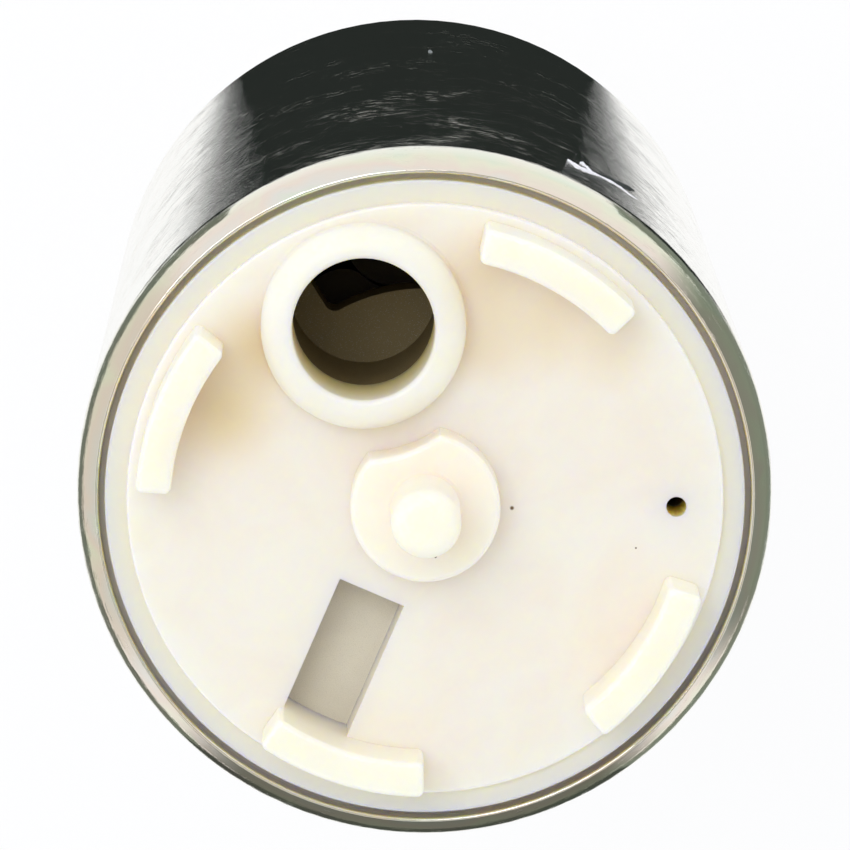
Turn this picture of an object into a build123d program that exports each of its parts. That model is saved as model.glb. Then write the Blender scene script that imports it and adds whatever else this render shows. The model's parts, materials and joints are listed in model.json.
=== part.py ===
from build123d import *
import os
from math import cos, pi, radians, sin, sqrt

# Electric fuel pump for use inside a fuel tank, with a gerotor pumping section.
# The pump's axis is Z and its inlet end is up. z = 0 is half way along the steel shell.
# Reading down from the inlet: cover, inlet body, gears, port plate, motor, brushes, outlet cap.

# Clearances
SEAT_GAP = 0.02  # between pieces that are pressed or clamped together
RUN_GAP = 0.05  # radial, between a turning or sliding piece and what guides it
PASS_GAP = 0.4  # between pieces that pass without touching

# Steel shell, rolled in over the cover at both ends
SHELL_OD = 38.0
SHELL_WALL = 0.9
SHELL_LENGTH = 76.0
LIP_HEIGHT = 2.6  # length of tube taken up by each rolled lip
LIP_HOLD = 0.35  # how far the lip reaches in past the bore
LIP_ROUND = 0.15

# Rim that the inlet cover and the outlet cap share, clamped under the lips
FACE_RISE = 0.5  # face above the lip
LEDGE_DROP = 0.1  # ledge below the lip
LEDGE_GAP = 0.35  # open groove between lip and ledge
LEDGE_WIDTH = 1.2
RIM_LAND = 0.5  # straight wall below the lip
EDGE_ROUND = 0.15
EDGE_CHAMFER = 0.3

# Inlet spigot on the cover
SPIGOT_MARGIN = 0.46  # from the spigot's wall to the face's edge
INLET_ANGLE = 109.1
INLET_BORE_R = 3.85
SPIGOT_WALL = 1.69
SPIGOT_HEIGHT = 2.4
SPIGOT_ROUND = 1.25
MOUTH_ROUND = 0.3
FOOT_ROUND = 0.2

# Centre boss and strainer peg
BOSS_R = 4.05
BOSS_HEIGHT = 2.9
BOSS_ROUND = 0.3
BITE_GAP = 1.45  # from spigot wall to boss
PEG_R = 1.87
PEG_HEIGHT = 5.8
PEG_ROUND = 0.9

# Bayonet lugs near the cover's edge
LUG_ANGLES = (60.8, 158.9, 252.4, 325.3)
LUG_SPAN = 34.5
LUG_MARGIN = 0.55  # from the lug's outer wall to the face's edge
LUG_WALL = 1.9
LUG_HEIGHT = 4.1
LUG_CORNER = 0.35
LUG_ROUND = 0.3

# Key window and vent in the cover
WINDOW_WIDTH = 3.8
WINDOW_LENGTH = 8.4
WINDOW_OVERRUN = 0.48  # cut off the window's outer end along the lugs' inner wall
WINDOW_ANGLE = 243.1
WINDOW_TILT = 246.6
VENT_R = 0.55
VENT_MARGIN = 2.55  # from the vent's middle to the face's edge
VENT_ANGLE = -1.6

# Gerotor gears
GEAR_TEETH = 8  # on the inner gear; the outer gear has one more
OFFSET_SHARE = 0.087121  # distance between the gears' axes, as a share of the lobes' circle
GEAR_OFFSET_ANGLE = 321.0
LOBE_RADIUS = 2.75
GEAR_WALL = 2.45  # outer gear, from root to rim
RING_WALL = 1.61  # gear ring at its thinnest
GEAR_THICK = 6.0
GEAR_FACE_GAP = 0.03
TOOTH_GAP = 0.07
TOOTH_ARCS = 8  # that follow each tooth's formula curve

# Inlet body, ports and port plate
BODY_HEIGHT = 13.5
BODY_FLOOR = 3.0
POCKET_STEP = 0.25  # the body's pocket is wider than the cover's bore
BODY_SEAL_DROP = 4.05  # from the body's top to its seal
PORT_REACH = 0.75  # port's inner wall, inside the lobes
PORT_WIDTH = 3.0
PORT_SPAN = 142.0
PORT_SEAL = 19.0  # closed angle from the mesh point to each port
PORT_ROUND = 0.6
PORT_STEP = 0.5
PLATE_THICK = 2.4
PLATE_INSET = 0.6
SPRING_SPACE = 1.8
SPRING_SHEET = 0.6
STUB_R = 2.0
STUB_BURY = 8.0
SHAFT_CHAMFER = 0.33
PIN_R = 1.0
PIN_MARGIN = 0.78  # from a pin to the ring's outer wall
PIN_SPREAD = 50.0
PIN_BURY = 4.0
SEAL_WIRE_R = 0.88
SEAL_ROOM = 0.3

# Drive coupling
FINGERS = 4
FINGER_R = 1.3
FINGER_CIRCLE = 5.2
HUB_R = 7.4
HUB_THICK = 3.8

# Motor
FLUX_WALL = 1.6
MAGNET_THICK = 3.6
MAGNET_EXTRA = 5.0  # magnet's length beyond the core's
MAGNET_SPAN = 140.0
AIR_GAP = 0.45
SLOTS = 8
TOOTH_WIDTH = 3.2
TOOTH_TIP = 1.2
SLOT_MOUTH = 1.6
YOKE_R = 6.2
BUSH_WALL = 1.4
OVERHANG = 4.0
TURN_ROUND = 1.3
TURN_ROUND_INSIDE = 1.0
INSULATION = 0.25
CLIP_SHEET = 0.5
JOURNAL_R = 2.0
COMM_INSET = 1.81  # segments' rim from the core's
COMM_INNER_R = 4.6
COMM_THICK = 1.4
COMM_BASE = 2.5
COMM_SLIT = 0.5

# Brushes, in square guides in the outlet cap
BRUSH_WIDTH = 5.0
BRUSH_LENGTH = 8.0
BRUSH_SPRING_SPACE = 7.4
GUIDE_WALL = 1.3
LEAD_R = 0.45

# Outlet cap
SKIRT_WALL = 2.9
SKIRT_DEPTH = 6.0
CAP_RIM = 4.58  # from the start of the roll to the cap's inner floor
COMM_RISE = 4.52  # from the cap's inner floor to the commutator's face
BEARING_WALL = 1.6
BEARING_LENGTH = 6.0
WASHER_THICK = 0.8
TOWER_R = 4.7
TERMINAL_SHEET = 0.8
BLADE_CHAMFER = 0.2
BLADE_WIDTH = 4.8
BLADE_LENGTH = 9.0
NIPPLE_MARGIN = 1.1  # from the nipple's foot to the face's edge
OUTLET_ANGLE = 270.0
NIPPLE_R = 4.0
NIPPLE_LENGTH = 21.0
NIPPLE_FOOT_R = 5.3
NIPPLE_FOOT = 3.0
BARB_RISE = 0.6
BARB_LENGTH = 3.5
BARB_PITCH = 5.0
BARBS = 3
OUTLET_BORE_R = 3.1

# Check valve in the outlet
VALVE_HOLE_R = 2.1
VALVE_R = 2.7
VALVE_DEPTH = 5.5  # seat below the cap's inner floor
VALVE_NOSE = 1.5
VALVE_BACK = 0.8
VALVE_STEM_R = 0.9
VALVE_SPRING_SPACE = 6.3
RETAINER_THICK = 1.5
RETAINER_WALL = 0.8
SPOKES = 3
SPOKE_WIDTH = 0.8

# Relief valve beside it
RELIEF_MARGIN = 2.6  # from the relief tower to the face's edge
RELIEF_ANGLE = 90.0
RELIEF_HOLE_R = 1.1
RELIEF_BALL_R = 1.6
RELIEF_DEPTH = 4.0
RELIEF_ROOM = 0.5
RELIEF_WALL = 1.5
RELIEF_SPRING_SPACE = 6.6  # from the ball's middle to the plug
TOWER_CHAMFER = 0.5
PLUG_THICK = 2.0
PLUG_HOLE_R = 0.9

# Coil springs
SPRING_WIRE_R = 0.2
SPRING_TURNS = 5
SPRING_INSET = 0.6  # from what guides a spring to the middle of its wire
SPRING_GAP = 0.15  # at each end of a spring

# Radii worked out from the shell inwards
SHELL_R = SHELL_OD / 2
BORE_R = SHELL_R - SHELL_WALL
FIT_R = BORE_R - SEAT_GAP
LIP_R = BORE_R - LIP_HOLD
LIP_ROLL = SHELL_R - LIP_R
ROLL_R = (LIP_ROLL**2 + LIP_HEIGHT**2) / (2 * LIP_ROLL)
ROLL_CENTRE_R = SHELL_R - ROLL_R
LEDGE_R = LIP_R - LEDGE_GAP
FACE_R = LEDGE_R - LEDGE_WIDTH
SPIGOT_R = INLET_BORE_R + SPIGOT_WALL
INLET_RADIUS = FACE_R - SPIGOT_MARGIN - SPIGOT_R
LUG_OUTER_R = FACE_R - LUG_MARGIN
LUG_INNER_R = LUG_OUTER_R - LUG_WALL
WINDOW_RADIUS = LUG_INNER_R + WINDOW_OVERRUN - WINDOW_LENGTH / 2
VENT_RADIUS = FACE_R - VENT_MARGIN
GEAR_ROOM = FIT_R - RING_WALL - RUN_GAP - GEAR_WALL - TOOTH_GAP + LOBE_RADIUS
LOBE_CENTRE_R = GEAR_ROOM / (1 + 3 * OFFSET_SHARE)
GEAR_OFFSET = LOBE_CENTRE_R * OFFSET_SHARE
ROOT_R = LOBE_CENTRE_R - LOBE_RADIUS + 2 * GEAR_OFFSET + TOOTH_GAP
OUTER_GEAR_R = ROOT_R + GEAR_WALL
PORT_INNER_R = LOBE_CENTRE_R - LOBE_RADIUS - PORT_REACH
PORT_OUTER_R = PORT_INNER_R + PORT_WIDTH
PIN_RADIUS = FIT_R - PIN_MARGIN - PIN_R
FLUX_INNER_R = FIT_R - FLUX_WALL
MAGNET_OUTER_R = FLUX_INNER_R - SEAT_GAP
MAGNET_INNER_R = MAGNET_OUTER_R - MAGNET_THICK
CORE_R = MAGNET_INNER_R - AIR_GAP
COMM_R = CORE_R - COMM_INSET
BRUSH_RADIUS = (COMM_R + COMM_INNER_R) / 2
BUSH_R = STUB_R + RUN_GAP + BUSH_WALL
GUIDE_HALF = BRUSH_WIDTH / 2 + RUN_GAP
BEARING_R = JOURNAL_R + RUN_GAP + BEARING_WALL
OUTLET_RADIUS = FACE_R - NIPPLE_MARGIN - NIPPLE_FOOT_R
RELIEF_BORE_R = RELIEF_BALL_R + RELIEF_ROOM
RELIEF_TOWER_R = RELIEF_BORE_R + RELIEF_WALL
RELIEF_RADIUS = FACE_R - RELIEF_MARGIN - RELIEF_TOWER_R

# Levels worked out from both ends: the motor takes up what is left between them
Z_LIP = SHELL_LENGTH / 2
Z_ROLL = Z_LIP - LIP_HEIGHT
Z_FACE = Z_LIP + FACE_RISE
Z_LEDGE = Z_LIP - LEDGE_DROP
Z_BODY = Z_ROLL - RIM_LAND
Z_GEARS = Z_BODY - BODY_HEIGHT
Z_PLATE = Z_GEARS - GEAR_THICK
Z_PLATE_UNDER = Z_PLATE - PLATE_THICK
Z_FLUX = Z_PLATE_UNDER - SPRING_SPACE
Z_HUB = Z_PLATE_UNDER - 2 * PASS_GAP
Z_HUB_UNDER = Z_HUB - HUB_THICK
Z_WINDING = Z_HUB_UNDER - PASS_GAP
Z_CORE = Z_WINDING - OVERHANG
Z_CAP_FACE = -Z_FACE
Z_FLOOR = CAP_RIM - Z_ROLL
Z_SKIRT = Z_FLOOR + SKIRT_DEPTH
Z_FLUX_END = Z_SKIRT + SEAT_GAP
Z_COMM_FACE = Z_FLOOR + COMM_RISE
Z_SEGMENT = Z_COMM_FACE + COMM_THICK
Z_COMM = Z_SEGMENT + COMM_BASE
Z_WINDING_END = Z_COMM + PASS_GAP
Z_CORE_END = Z_WINDING_END + OVERHANG
CORE_LENGTH = Z_CORE - Z_CORE_END
MAGNET_LENGTH = CORE_LENGTH + MAGNET_EXTRA
Z_BRUSH = Z_COMM_FACE - RUN_GAP
Z_BRUSH_END = Z_BRUSH - BRUSH_LENGTH
Z_TERMINAL = Z_BRUSH_END - BRUSH_SPRING_SPACE
Z_TOWER_END = Z_TERMINAL - TERMINAL_SHEET - PASS_GAP
Z_GUIDE = Z_COMM_FACE - 3 * PASS_GAP
Z_WASHER = Z_COMM_FACE - 2 * PASS_GAP
Z_BEARING = Z_WASHER - WASHER_THICK
Z_BEARING_END = Z_BEARING - BEARING_LENGTH
Z_STUB_TOP = Z_GEARS + STUB_BURY
Z_STUB_END = Z_CORE
Z_VALVE = Z_FLOOR - VALVE_DEPTH
Z_VALVE_BACK = Z_VALVE - VALVE_BACK - (VALVE_R - VALVE_HOLE_R)
Z_RETAINER = Z_VALVE_BACK - VALVE_SPRING_SPACE
Z_RELIEF = Z_FLOOR - RELIEF_DEPTH
RELIEF_DROP = sqrt(RELIEF_BALL_R**2 - RELIEF_HOLE_R**2)
Z_BALL = Z_RELIEF - RELIEF_DROP - RUN_GAP
Z_PLUG = Z_BALL - RELIEF_SPRING_SPACE
Z_RELIEF_END = Z_PLUG - PLUG_THICK


def polar(radius, angle):
    """Point at a radius and an angle in degrees about the pump's axis."""
    return (radius * cos(radians(angle)), radius * sin(radians(angle)))


INLET = polar(INLET_RADIUS, INLET_ANGLE)
VENT = polar(VENT_RADIUS, VENT_ANGLE)
WINDOW = polar(WINDOW_RADIUS, WINDOW_ANGLE)
GEAR_CENTRE = polar(GEAR_OFFSET, GEAR_OFFSET_ANGLE)
MESH_ANGLE = GEAR_OFFSET_ANGLE - 180
OUTLET = polar(OUTLET_RADIUS, OUTLET_ANGLE)
RELIEF = polar(RELIEF_RADIUS, RELIEF_ANGLE)
PIN_POINTS = [polar(PIN_RADIUS, MESH_ANGLE + side * PIN_SPREAD) for side in (-1, 1)]
BRUSH_POINTS = {"a": (BRUSH_RADIUS, 0), "b": (-BRUSH_RADIUS, 0)}


def circles(builder, radius, z):
    """Circular edges of a part at a radius and a height, for rounding."""

    def matches(edge):
        at_height = abs(edge.arc_center.Z - z) < 1e-3
        return at_height and abs(edge.radius - radius) < 1e-3

    return builder.edges().filter_by(GeomType.CIRCLE).filter_by(matches)


def roll_rise(arc_r):
    """Height at which an arc about the roll's centre reaches the lip's edge."""
    return sqrt(arc_r**2 - (LIP_R - ROLL_CENTRE_R) ** 2)


def clamped_rim(end, z_inner, skirt_r=0.0, z_skirt=0.0):
    """Half section of a moulding clamped under a lip: end is 1 for the inlet, -1 for the outlet."""
    shoulder_r = ROLL_R - SHELL_WALL - SEAT_GAP
    z_shoulder = Z_ROLL + roll_rise(shoulder_r)
    with BuildSketch() as rim:
        with BuildLine():
            if skirt_r:
                Polyline((0, z_inner), (skirt_r, z_inner), (skirt_r, z_skirt), (FIT_R, z_skirt))
                Line((FIT_R, z_skirt), (FIT_R, end * Z_ROLL))
            else:
                Polyline((0, z_inner), (FIT_R, z_inner), (FIT_R, end * Z_ROLL))
            TangentArc((FIT_R, end * Z_ROLL), (LIP_R, end * z_shoulder), tangent=(0, end))
            Polyline(
                (LIP_R, end * z_shoulder),
                (LEDGE_R, end * z_shoulder),
                (LEDGE_R, end * Z_LEDGE),
                (FACE_R, end * Z_LEDGE),
                (FACE_R, end * Z_FACE),
                (0, end * Z_FACE),
                (0, z_inner),
            )
        make_face()
    return rim.sketch


def sector(inner_r, outer_r, start, span, corner=0.0):
    """Ring sector about the pump's axis, with rounded corners if asked."""
    stop = start + span
    with BuildSketch() as shape:
        with BuildLine():
            CenterArc((0, 0), inner_r, start, span)
            CenterArc((0, 0), outer_r, start, span)
            Line(polar(inner_r, start), polar(outer_r, start))
            Line(polar(inner_r, stop), polar(outer_r, stop))
        make_face()
        if corner:
            fillet(shape.vertices(), corner)
    return shape.sketch


def kidney(mesh_side):
    """Port over one side of the gears: mesh_side is -1 for the inlet, 1 for the outlet."""
    middle = MESH_ANGLE + mesh_side * (PORT_SEAL + PORT_SPAN / 2)
    start = middle - PORT_SPAN / 2
    return sector(PORT_INNER_R, PORT_OUTER_R, start, PORT_SPAN, PORT_ROUND)


def post(point, radius, z_foot, z_end):
    """Round post that stands on a level face, with a small round at its foot."""
    z_round = z_foot + FOOT_ROUND * (1 if z_end > z_foot else -1)
    with BuildPart() as column:
        with BuildSketch(Plane(origin=(*point, 0), x_dir=(1, 0, 0), z_dir=(0, -1, 0))):
            with BuildLine():
                Line((0, z_foot), (radius + FOOT_ROUND, z_foot))
                TangentArc((radius + FOOT_ROUND, z_foot), (radius, z_round), tangent=(-1, 0))
                Polyline((radius, z_round), (radius, z_end), (0, z_end), (0, z_foot))
            make_face()
        revolve(axis=Axis((*point, 0), (0, 0, 1)))
    return column.part


def seal_groove(z):
    """Ring groove for a round seal between a moulding and the shell."""
    with BuildPart() as groove:
        with BuildSketch(Plane.XZ):
            with Locations((BORE_R, z)):
                Rectangle(4 * SEAL_WIRE_R + 2 * SEAT_GAP, 2 * (SEAL_WIRE_R + SEAL_ROOM))
        revolve(axis=Axis.Z)
    return groove.part


def seal_ring(z):
    """Round seal squeezed between the groove's floor and the shell's bore."""
    with BuildPart() as ring:
        with BuildSketch(Plane.XZ):
            with Locations((BORE_R - SEAT_GAP / 2 - SEAL_WIRE_R, z)):
                Circle(SEAL_WIRE_R - SEAT_GAP / 2)
        revolve(axis=Axis.Z)
    return ring


def coil_spring(point, coil_r, z_high, z_low):
    """Round-wire compression spring on a vertical axis between two seats."""
    inset = SPRING_WIRE_R + SPRING_GAP
    height = z_high - z_low - 2 * inset
    with BuildPart() as spring:
        with BuildLine():
            coil = Helix(height / SPRING_TURNS, height, coil_r, center=(*point, z_low + inset))
        with BuildSketch(Plane(coil @ 0, z_dir=coil % 0)):
            Circle(SPRING_WIRE_R)
        sweep(path=coil, is_frenet=True)
    return spring


# Steel shell: one drawn tube with both ends rolled in
with BuildPart() as housing_shell:
    with BuildSketch(Plane.XZ):
        with BuildLine():
            inner_rise = roll_rise(ROLL_R - SHELL_WALL)
            Line((BORE_R, 0), (BORE_R, Z_ROLL))
            TangentArc((BORE_R, Z_ROLL), (LIP_R, Z_ROLL + inner_rise), tangent=(0, 1))
            Line((LIP_R, Z_ROLL + inner_rise), (LIP_R, Z_LIP))
            TangentArc((SHELL_R, Z_ROLL), (LIP_R, Z_LIP), tangent=(0, 1))
            Line((SHELL_R, Z_ROLL), (SHELL_R, 0))
            mirror(about=Plane.XZ)
        make_face()
    revolve(axis=Axis.Z)
    fillet(circles(housing_shell, LIP_R, Z_LIP), LIP_ROUND)
    fillet(circles(housing_shell, LIP_R, -Z_LIP), LIP_ROUND)
housing_shell.part.label = "housing_shell"

# Inlet cover: moulded acetal, with the spigot, the boss and peg, and the lugs
with BuildPart() as inlet_cover:
    with BuildSketch(Plane.XZ):
        add(clamped_rim(1, Z_BODY))
    revolve(axis=Axis.Z)
    fillet(circles(inlet_cover, FACE_R, Z_FACE), EDGE_ROUND)
    fillet(circles(inlet_cover, LEDGE_R, Z_LEDGE), EDGE_ROUND)
    add(post(INLET, SPIGOT_R, Z_FACE, Z_FACE + SPIGOT_HEIGHT))
    fillet(circles(inlet_cover, SPIGOT_R, Z_FACE + SPIGOT_HEIGHT), SPIGOT_ROUND)
    z_boss = Z_FACE + BOSS_HEIGHT
    with BuildPart(mode=Mode.PRIVATE) as boss:
        with BuildSketch(Plane.XY.offset(Z_FACE)):
            Circle(BOSS_R)
            with Locations(INLET):
                Circle(SPIGOT_R + BITE_GAP, mode=Mode.SUBTRACT)
        extrude(amount=BOSS_HEIGHT)
        fillet(boss.faces().sort_by(Axis.Z)[-1].edges(), BOSS_ROUND)
    with BuildPart(mode=Mode.PRIVATE) as peg:
        add(post((0, 0), PEG_R, z_boss, z_boss + PEG_HEIGHT))
        fillet(circles(peg, PEG_R, z_boss + PEG_HEIGHT), PEG_ROUND)
    add(boss.part)
    add(peg.part)
    for lug_angle in LUG_ANGLES:
        with BuildSketch(Plane.XY.offset(Z_FACE)):
            lug_start = lug_angle - LUG_SPAN / 2
            add(sector(LUG_INNER_R, LUG_OUTER_R, lug_start, LUG_SPAN, LUG_CORNER))
        extrude(amount=LUG_HEIGHT)
    z_lug = Z_FACE + LUG_HEIGHT
    fillet(inlet_cover.edges().filter_by(lambda e: abs(e.center().Z - z_lug) < 1e-3), LUG_ROUND)
    with BuildSketch(Plane.XY.offset(Z_BODY)):
        with Locations(INLET):
            Circle(INLET_BORE_R)
        with Locations(VENT):
            Circle(VENT_R)
    extrude(amount=Z_FACE + SPIGOT_HEIGHT - Z_BODY, mode=Mode.SUBTRACT)
    fillet(circles(inlet_cover, INLET_BORE_R, Z_FACE + SPIGOT_HEIGHT), MOUTH_ROUND)
    with BuildSketch(Plane.XY.offset(Z_BODY)):
        with Locations(WINDOW):
            Rectangle(WINDOW_LENGTH, WINDOW_WIDTH, rotation=WINDOW_TILT)
        Circle(LUG_INNER_R, mode=Mode.INTERSECT)
    extrude(amount=Z_FACE - Z_BODY, mode=Mode.SUBTRACT)
inlet_cover.part.label = "inlet_cover"

# Inlet body: sintered, with the deep inlet pocket and the kidney port in its floor
with BuildPart() as inlet_body:
    with BuildSketch(Plane.XY.offset(Z_GEARS)):
        Circle(FIT_R)
    extrude(amount=BODY_HEIGHT)
    with BuildSketch(Plane.XY.offset(Z_BODY)):
        with Locations(INLET):
            Circle(INLET_BORE_R + POCKET_STEP)
    extrude(amount=-(BODY_HEIGHT - BODY_FLOOR), mode=Mode.SUBTRACT)
    with BuildSketch(Plane.XY.offset(Z_GEARS)):
        add(kidney(-1))
    extrude(amount=BODY_FLOOR + PORT_STEP, mode=Mode.SUBTRACT)
    with BuildSketch(Plane.XY.offset(Z_GEARS)):
        Circle(STUB_R + SEAT_GAP)
    extrude(amount=STUB_BURY, mode=Mode.SUBTRACT)
    with BuildSketch(Plane.XY.offset(Z_GEARS)):
        with Locations(*PIN_POINTS):
            Circle(PIN_R + SEAT_GAP)
    extrude(amount=PIN_BURY + SEAT_GAP, mode=Mode.SUBTRACT)
    with BuildSketch(Plane.XY.offset(Z_GEARS)):
        with Locations(VENT):
            Circle(VENT_R)
    extrude(amount=BODY_HEIGHT, mode=Mode.SUBTRACT)
    Z_BODY_SEAL = Z_BODY - BODY_SEAL_DROP
    add(seal_groove(Z_BODY_SEAL), mode=Mode.SUBTRACT)
inlet_body.part.label = "inlet_body"

body_seal = seal_ring(Z_BODY_SEAL)
body_seal.part.label = "body_seal"

# Stub shaft: fixed in the inlet body, carries the inner gear and the armature's bush
with BuildPart() as stub_shaft:
    with BuildSketch(Plane.XY.offset(Z_STUB_END)):
        Circle(STUB_R)
    extrude(amount=Z_STUB_TOP - Z_STUB_END)
    chamfer(stub_shaft.faces().sort_by(Axis.Z)[0].edges(), SHAFT_CHAMFER)
stub_shaft.part.label = "stub_shaft"

with BuildPart() as locating_pins:
    with BuildSketch(Plane.XY.offset(Z_PLATE_UNDER)):
        with Locations(*PIN_POINTS):
            Circle(PIN_R)
    extrude(amount=Z_GEARS + PIN_BURY - Z_PLATE_UNDER)
locating_pins.part.label = "locating_pins"

# Ring that holds the gears, bored off centre
with BuildPart() as gear_ring:
    with BuildSketch(Plane.XY.offset(Z_PLATE)):
        Circle(FIT_R)
        with Locations(GEAR_CENTRE):
            Circle(OUTER_GEAR_R + RUN_GAP, mode=Mode.SUBTRACT)
        with Locations(*PIN_POINTS):
            Circle(PIN_R + SEAT_GAP, mode=Mode.SUBTRACT)
    extrude(amount=GEAR_THICK)
gear_ring.part.label = "gear_ring"


def tooth_point(angle):
    """Point on the inner gear, from the path of a lobe's centre set in by the lobe's radius."""
    slow = radians(angle)
    fast = (GEAR_TEETH + 1) * slow
    swing = GEAR_OFFSET * (GEAR_TEETH + 1)
    x = LOBE_CENTRE_R * cos(slow) - GEAR_OFFSET * cos(fast)
    y = LOBE_CENTRE_R * sin(slow) - GEAR_OFFSET * sin(fast)
    slope_x = swing * sin(fast) - LOBE_CENTRE_R * sin(slow)
    slope_y = LOBE_CENTRE_R * cos(slow) - swing * cos(fast)
    inset = (LOBE_RADIUS + TOOTH_GAP) / sqrt(slope_x**2 + slope_y**2)
    point = Vector(x - inset * slope_y, y + inset * slope_x)
    return point.rotate(Axis.Z, MESH_ANGLE)


# Inner gear: one tooth fewer than the outer, driven by the coupling's fingers
with BuildPart() as inner_gear:
    with BuildSketch(Plane.XY.offset(Z_PLATE + GEAR_FACE_GAP)):
        with BuildLine():
            half_arc = 180 / (GEAR_TEETH * TOOTH_ARCS)
            for arc in range(GEAR_TEETH * TOOTH_ARCS):
                ThreePointArc(*(tooth_point((2 * arc + step) * half_arc) for step in range(3)))
        make_face()
        Circle(STUB_R + RUN_GAP, mode=Mode.SUBTRACT)
        with PolarLocations(FINGER_CIRCLE, FINGERS):
            Circle(FINGER_R + SEAT_GAP, mode=Mode.SUBTRACT)
    extrude(amount=GEAR_THICK - 2 * GEAR_FACE_GAP)
inner_gear.part.label = "inner_gear"

# Outer gear: turns in the ring about its own, offset axis
with BuildPart() as outer_gear:
    with BuildSketch(Plane.XY.offset(Z_PLATE + GEAR_FACE_GAP)):
        with Locations(GEAR_CENTRE):
            Circle(OUTER_GEAR_R)
    extrude(amount=GEAR_THICK - 2 * GEAR_FACE_GAP)
    with BuildSketch(Plane.XY.offset(Z_PLATE)):
        with Locations(GEAR_CENTRE):
            Circle(ROOT_R)
        with Locations(GEAR_CENTRE):
            with PolarLocations(LOBE_CENTRE_R, GEAR_TEETH + 1, start_angle=MESH_ANGLE):
                Circle(LOBE_RADIUS, mode=Mode.SUBTRACT)
    extrude(amount=GEAR_THICK, mode=Mode.SUBTRACT)
outer_gear.part.label = "outer_gear"

# Port plate: closes the gears' other face, pushed up by its spring
with BuildPart() as outlet_port_plate:
    with BuildSketch(Plane.XY.offset(Z_PLATE_UNDER)):
        Circle(FIT_R - PLATE_INSET)
        Circle(FINGER_CIRCLE + FINGER_R + PASS_GAP, mode=Mode.SUBTRACT)
        with Locations(*PIN_POINTS):
            Circle(PIN_R + SEAT_GAP, mode=Mode.SUBTRACT)
    extrude(amount=PLATE_THICK)
    with BuildSketch(Plane.XY.offset(Z_PLATE_UNDER)):
        add(kidney(1))
    extrude(amount=PLATE_THICK, mode=Mode.SUBTRACT)
outlet_port_plate.part.label = "outlet_port_plate"

# Disc spring between the flux ring and the port plate
with BuildPart() as plate_spring:
    with BuildSketch(Plane.XZ):
        with BuildLine():
            spring_outer_r = FIT_R - PLATE_INSET
            spring_inner_r = FLUX_INNER_R - FLUX_WALL
            Polyline(
                (spring_outer_r, Z_FLUX + SEAT_GAP),
                (spring_outer_r, Z_FLUX + SPRING_SHEET),
                (spring_inner_r, Z_PLATE_UNDER - SEAT_GAP),
                (spring_inner_r, Z_PLATE_UNDER - SPRING_SHEET),
                close=True,
            )
        make_face()
    revolve(axis=Axis.Z)
plate_spring.part.label = "plate_spring"

# Drive coupling: moulded hub with fingers that reach into the inner gear
with BuildPart() as drive_coupling:
    with BuildSketch(Plane.XY.offset(Z_HUB_UNDER)):
        Circle(HUB_R)
        Circle(BUSH_R + SEAT_GAP, mode=Mode.SUBTRACT)
    extrude(amount=HUB_THICK)
    chamfer(circles(drive_coupling, HUB_R, Z_HUB), EDGE_CHAMFER)
    with BuildSketch(Plane.XY.offset(Z_HUB_UNDER)):
        with PolarLocations(FINGER_CIRCLE, FINGERS):
            Circle(FINGER_R)
    extrude(amount=Z_GEARS - PASS_GAP - Z_HUB_UNDER)
drive_coupling.part.label = "drive_coupling"

# Bronze bush in the armature's drive end, running on the stub shaft
with BuildPart() as armature_bush:
    with BuildSketch(Plane.XY.offset(Z_CORE - PASS_GAP)):
        Circle(BUSH_R)
        Circle(STUB_R + RUN_GAP, mode=Mode.SUBTRACT)
    extrude(amount=Z_HUB - Z_CORE + PASS_GAP)
armature_bush.part.label = "armature_bush"

# Armature shaft: carries the core and runs in the cap's bearing
with BuildPart() as armature_shaft:
    with BuildSketch(Plane.XY.offset(Z_CORE_END)):
        Circle(BUSH_R)
    extrude(amount=CORE_LENGTH - PASS_GAP)
    with BuildSketch(Plane.XY.offset(Z_BEARING_END + PASS_GAP)):
        Circle(JOURNAL_R)
    extrude(amount=Z_CORE_END - Z_BEARING_END - PASS_GAP)
    chamfer(armature_shaft.faces().sort_by(Axis.Z)[0].edges(), SHAFT_CHAMFER)
armature_shaft.part.label = "armature_shaft"

SLOT_OUTER_R = CORE_R - TOOTH_TIP


def slot_shape(inset):
    """One winding slot between two parallel-sided teeth, on the +X side."""
    half_pitch = pi / SLOTS
    half_tooth = TOOTH_WIDTH / 2 + inset
    inner_y = (YOKE_R + inset) * sin(half_pitch) - half_tooth * cos(half_pitch)
    inner_x = (YOKE_R + inset) * cos(half_pitch) + half_tooth * sin(half_pitch)
    along = SLOT_OUTER_R - inset - YOKE_R - inset
    outer_y = inner_y + along * sin(half_pitch)
    outer_x = inner_x + along * cos(half_pitch)
    with BuildSketch() as shape:
        with BuildLine():
            Polyline(
                (inner_x, -inner_y),
                (outer_x, -outer_y),
                (outer_x, outer_y),
                (inner_x, inner_y),
                close=True,
            )
        make_face()
    return shape.sketch


# Armature core: slotted steel laminations
with BuildPart() as armature_core:
    with BuildSketch(Plane.XY.offset(Z_CORE_END)):
        Circle(CORE_R)
        Circle(BUSH_R + SEAT_GAP, mode=Mode.SUBTRACT)
        with PolarLocations(0, SLOTS):
            add(slot_shape(0), mode=Mode.SUBTRACT)
        with PolarLocations(CORE_R, SLOTS):
            Rectangle(4 * TOOTH_TIP, SLOT_MOUTH, mode=Mode.SUBTRACT)
    extrude(amount=CORE_LENGTH)
armature_core.part.label = "armature_core"

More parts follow.
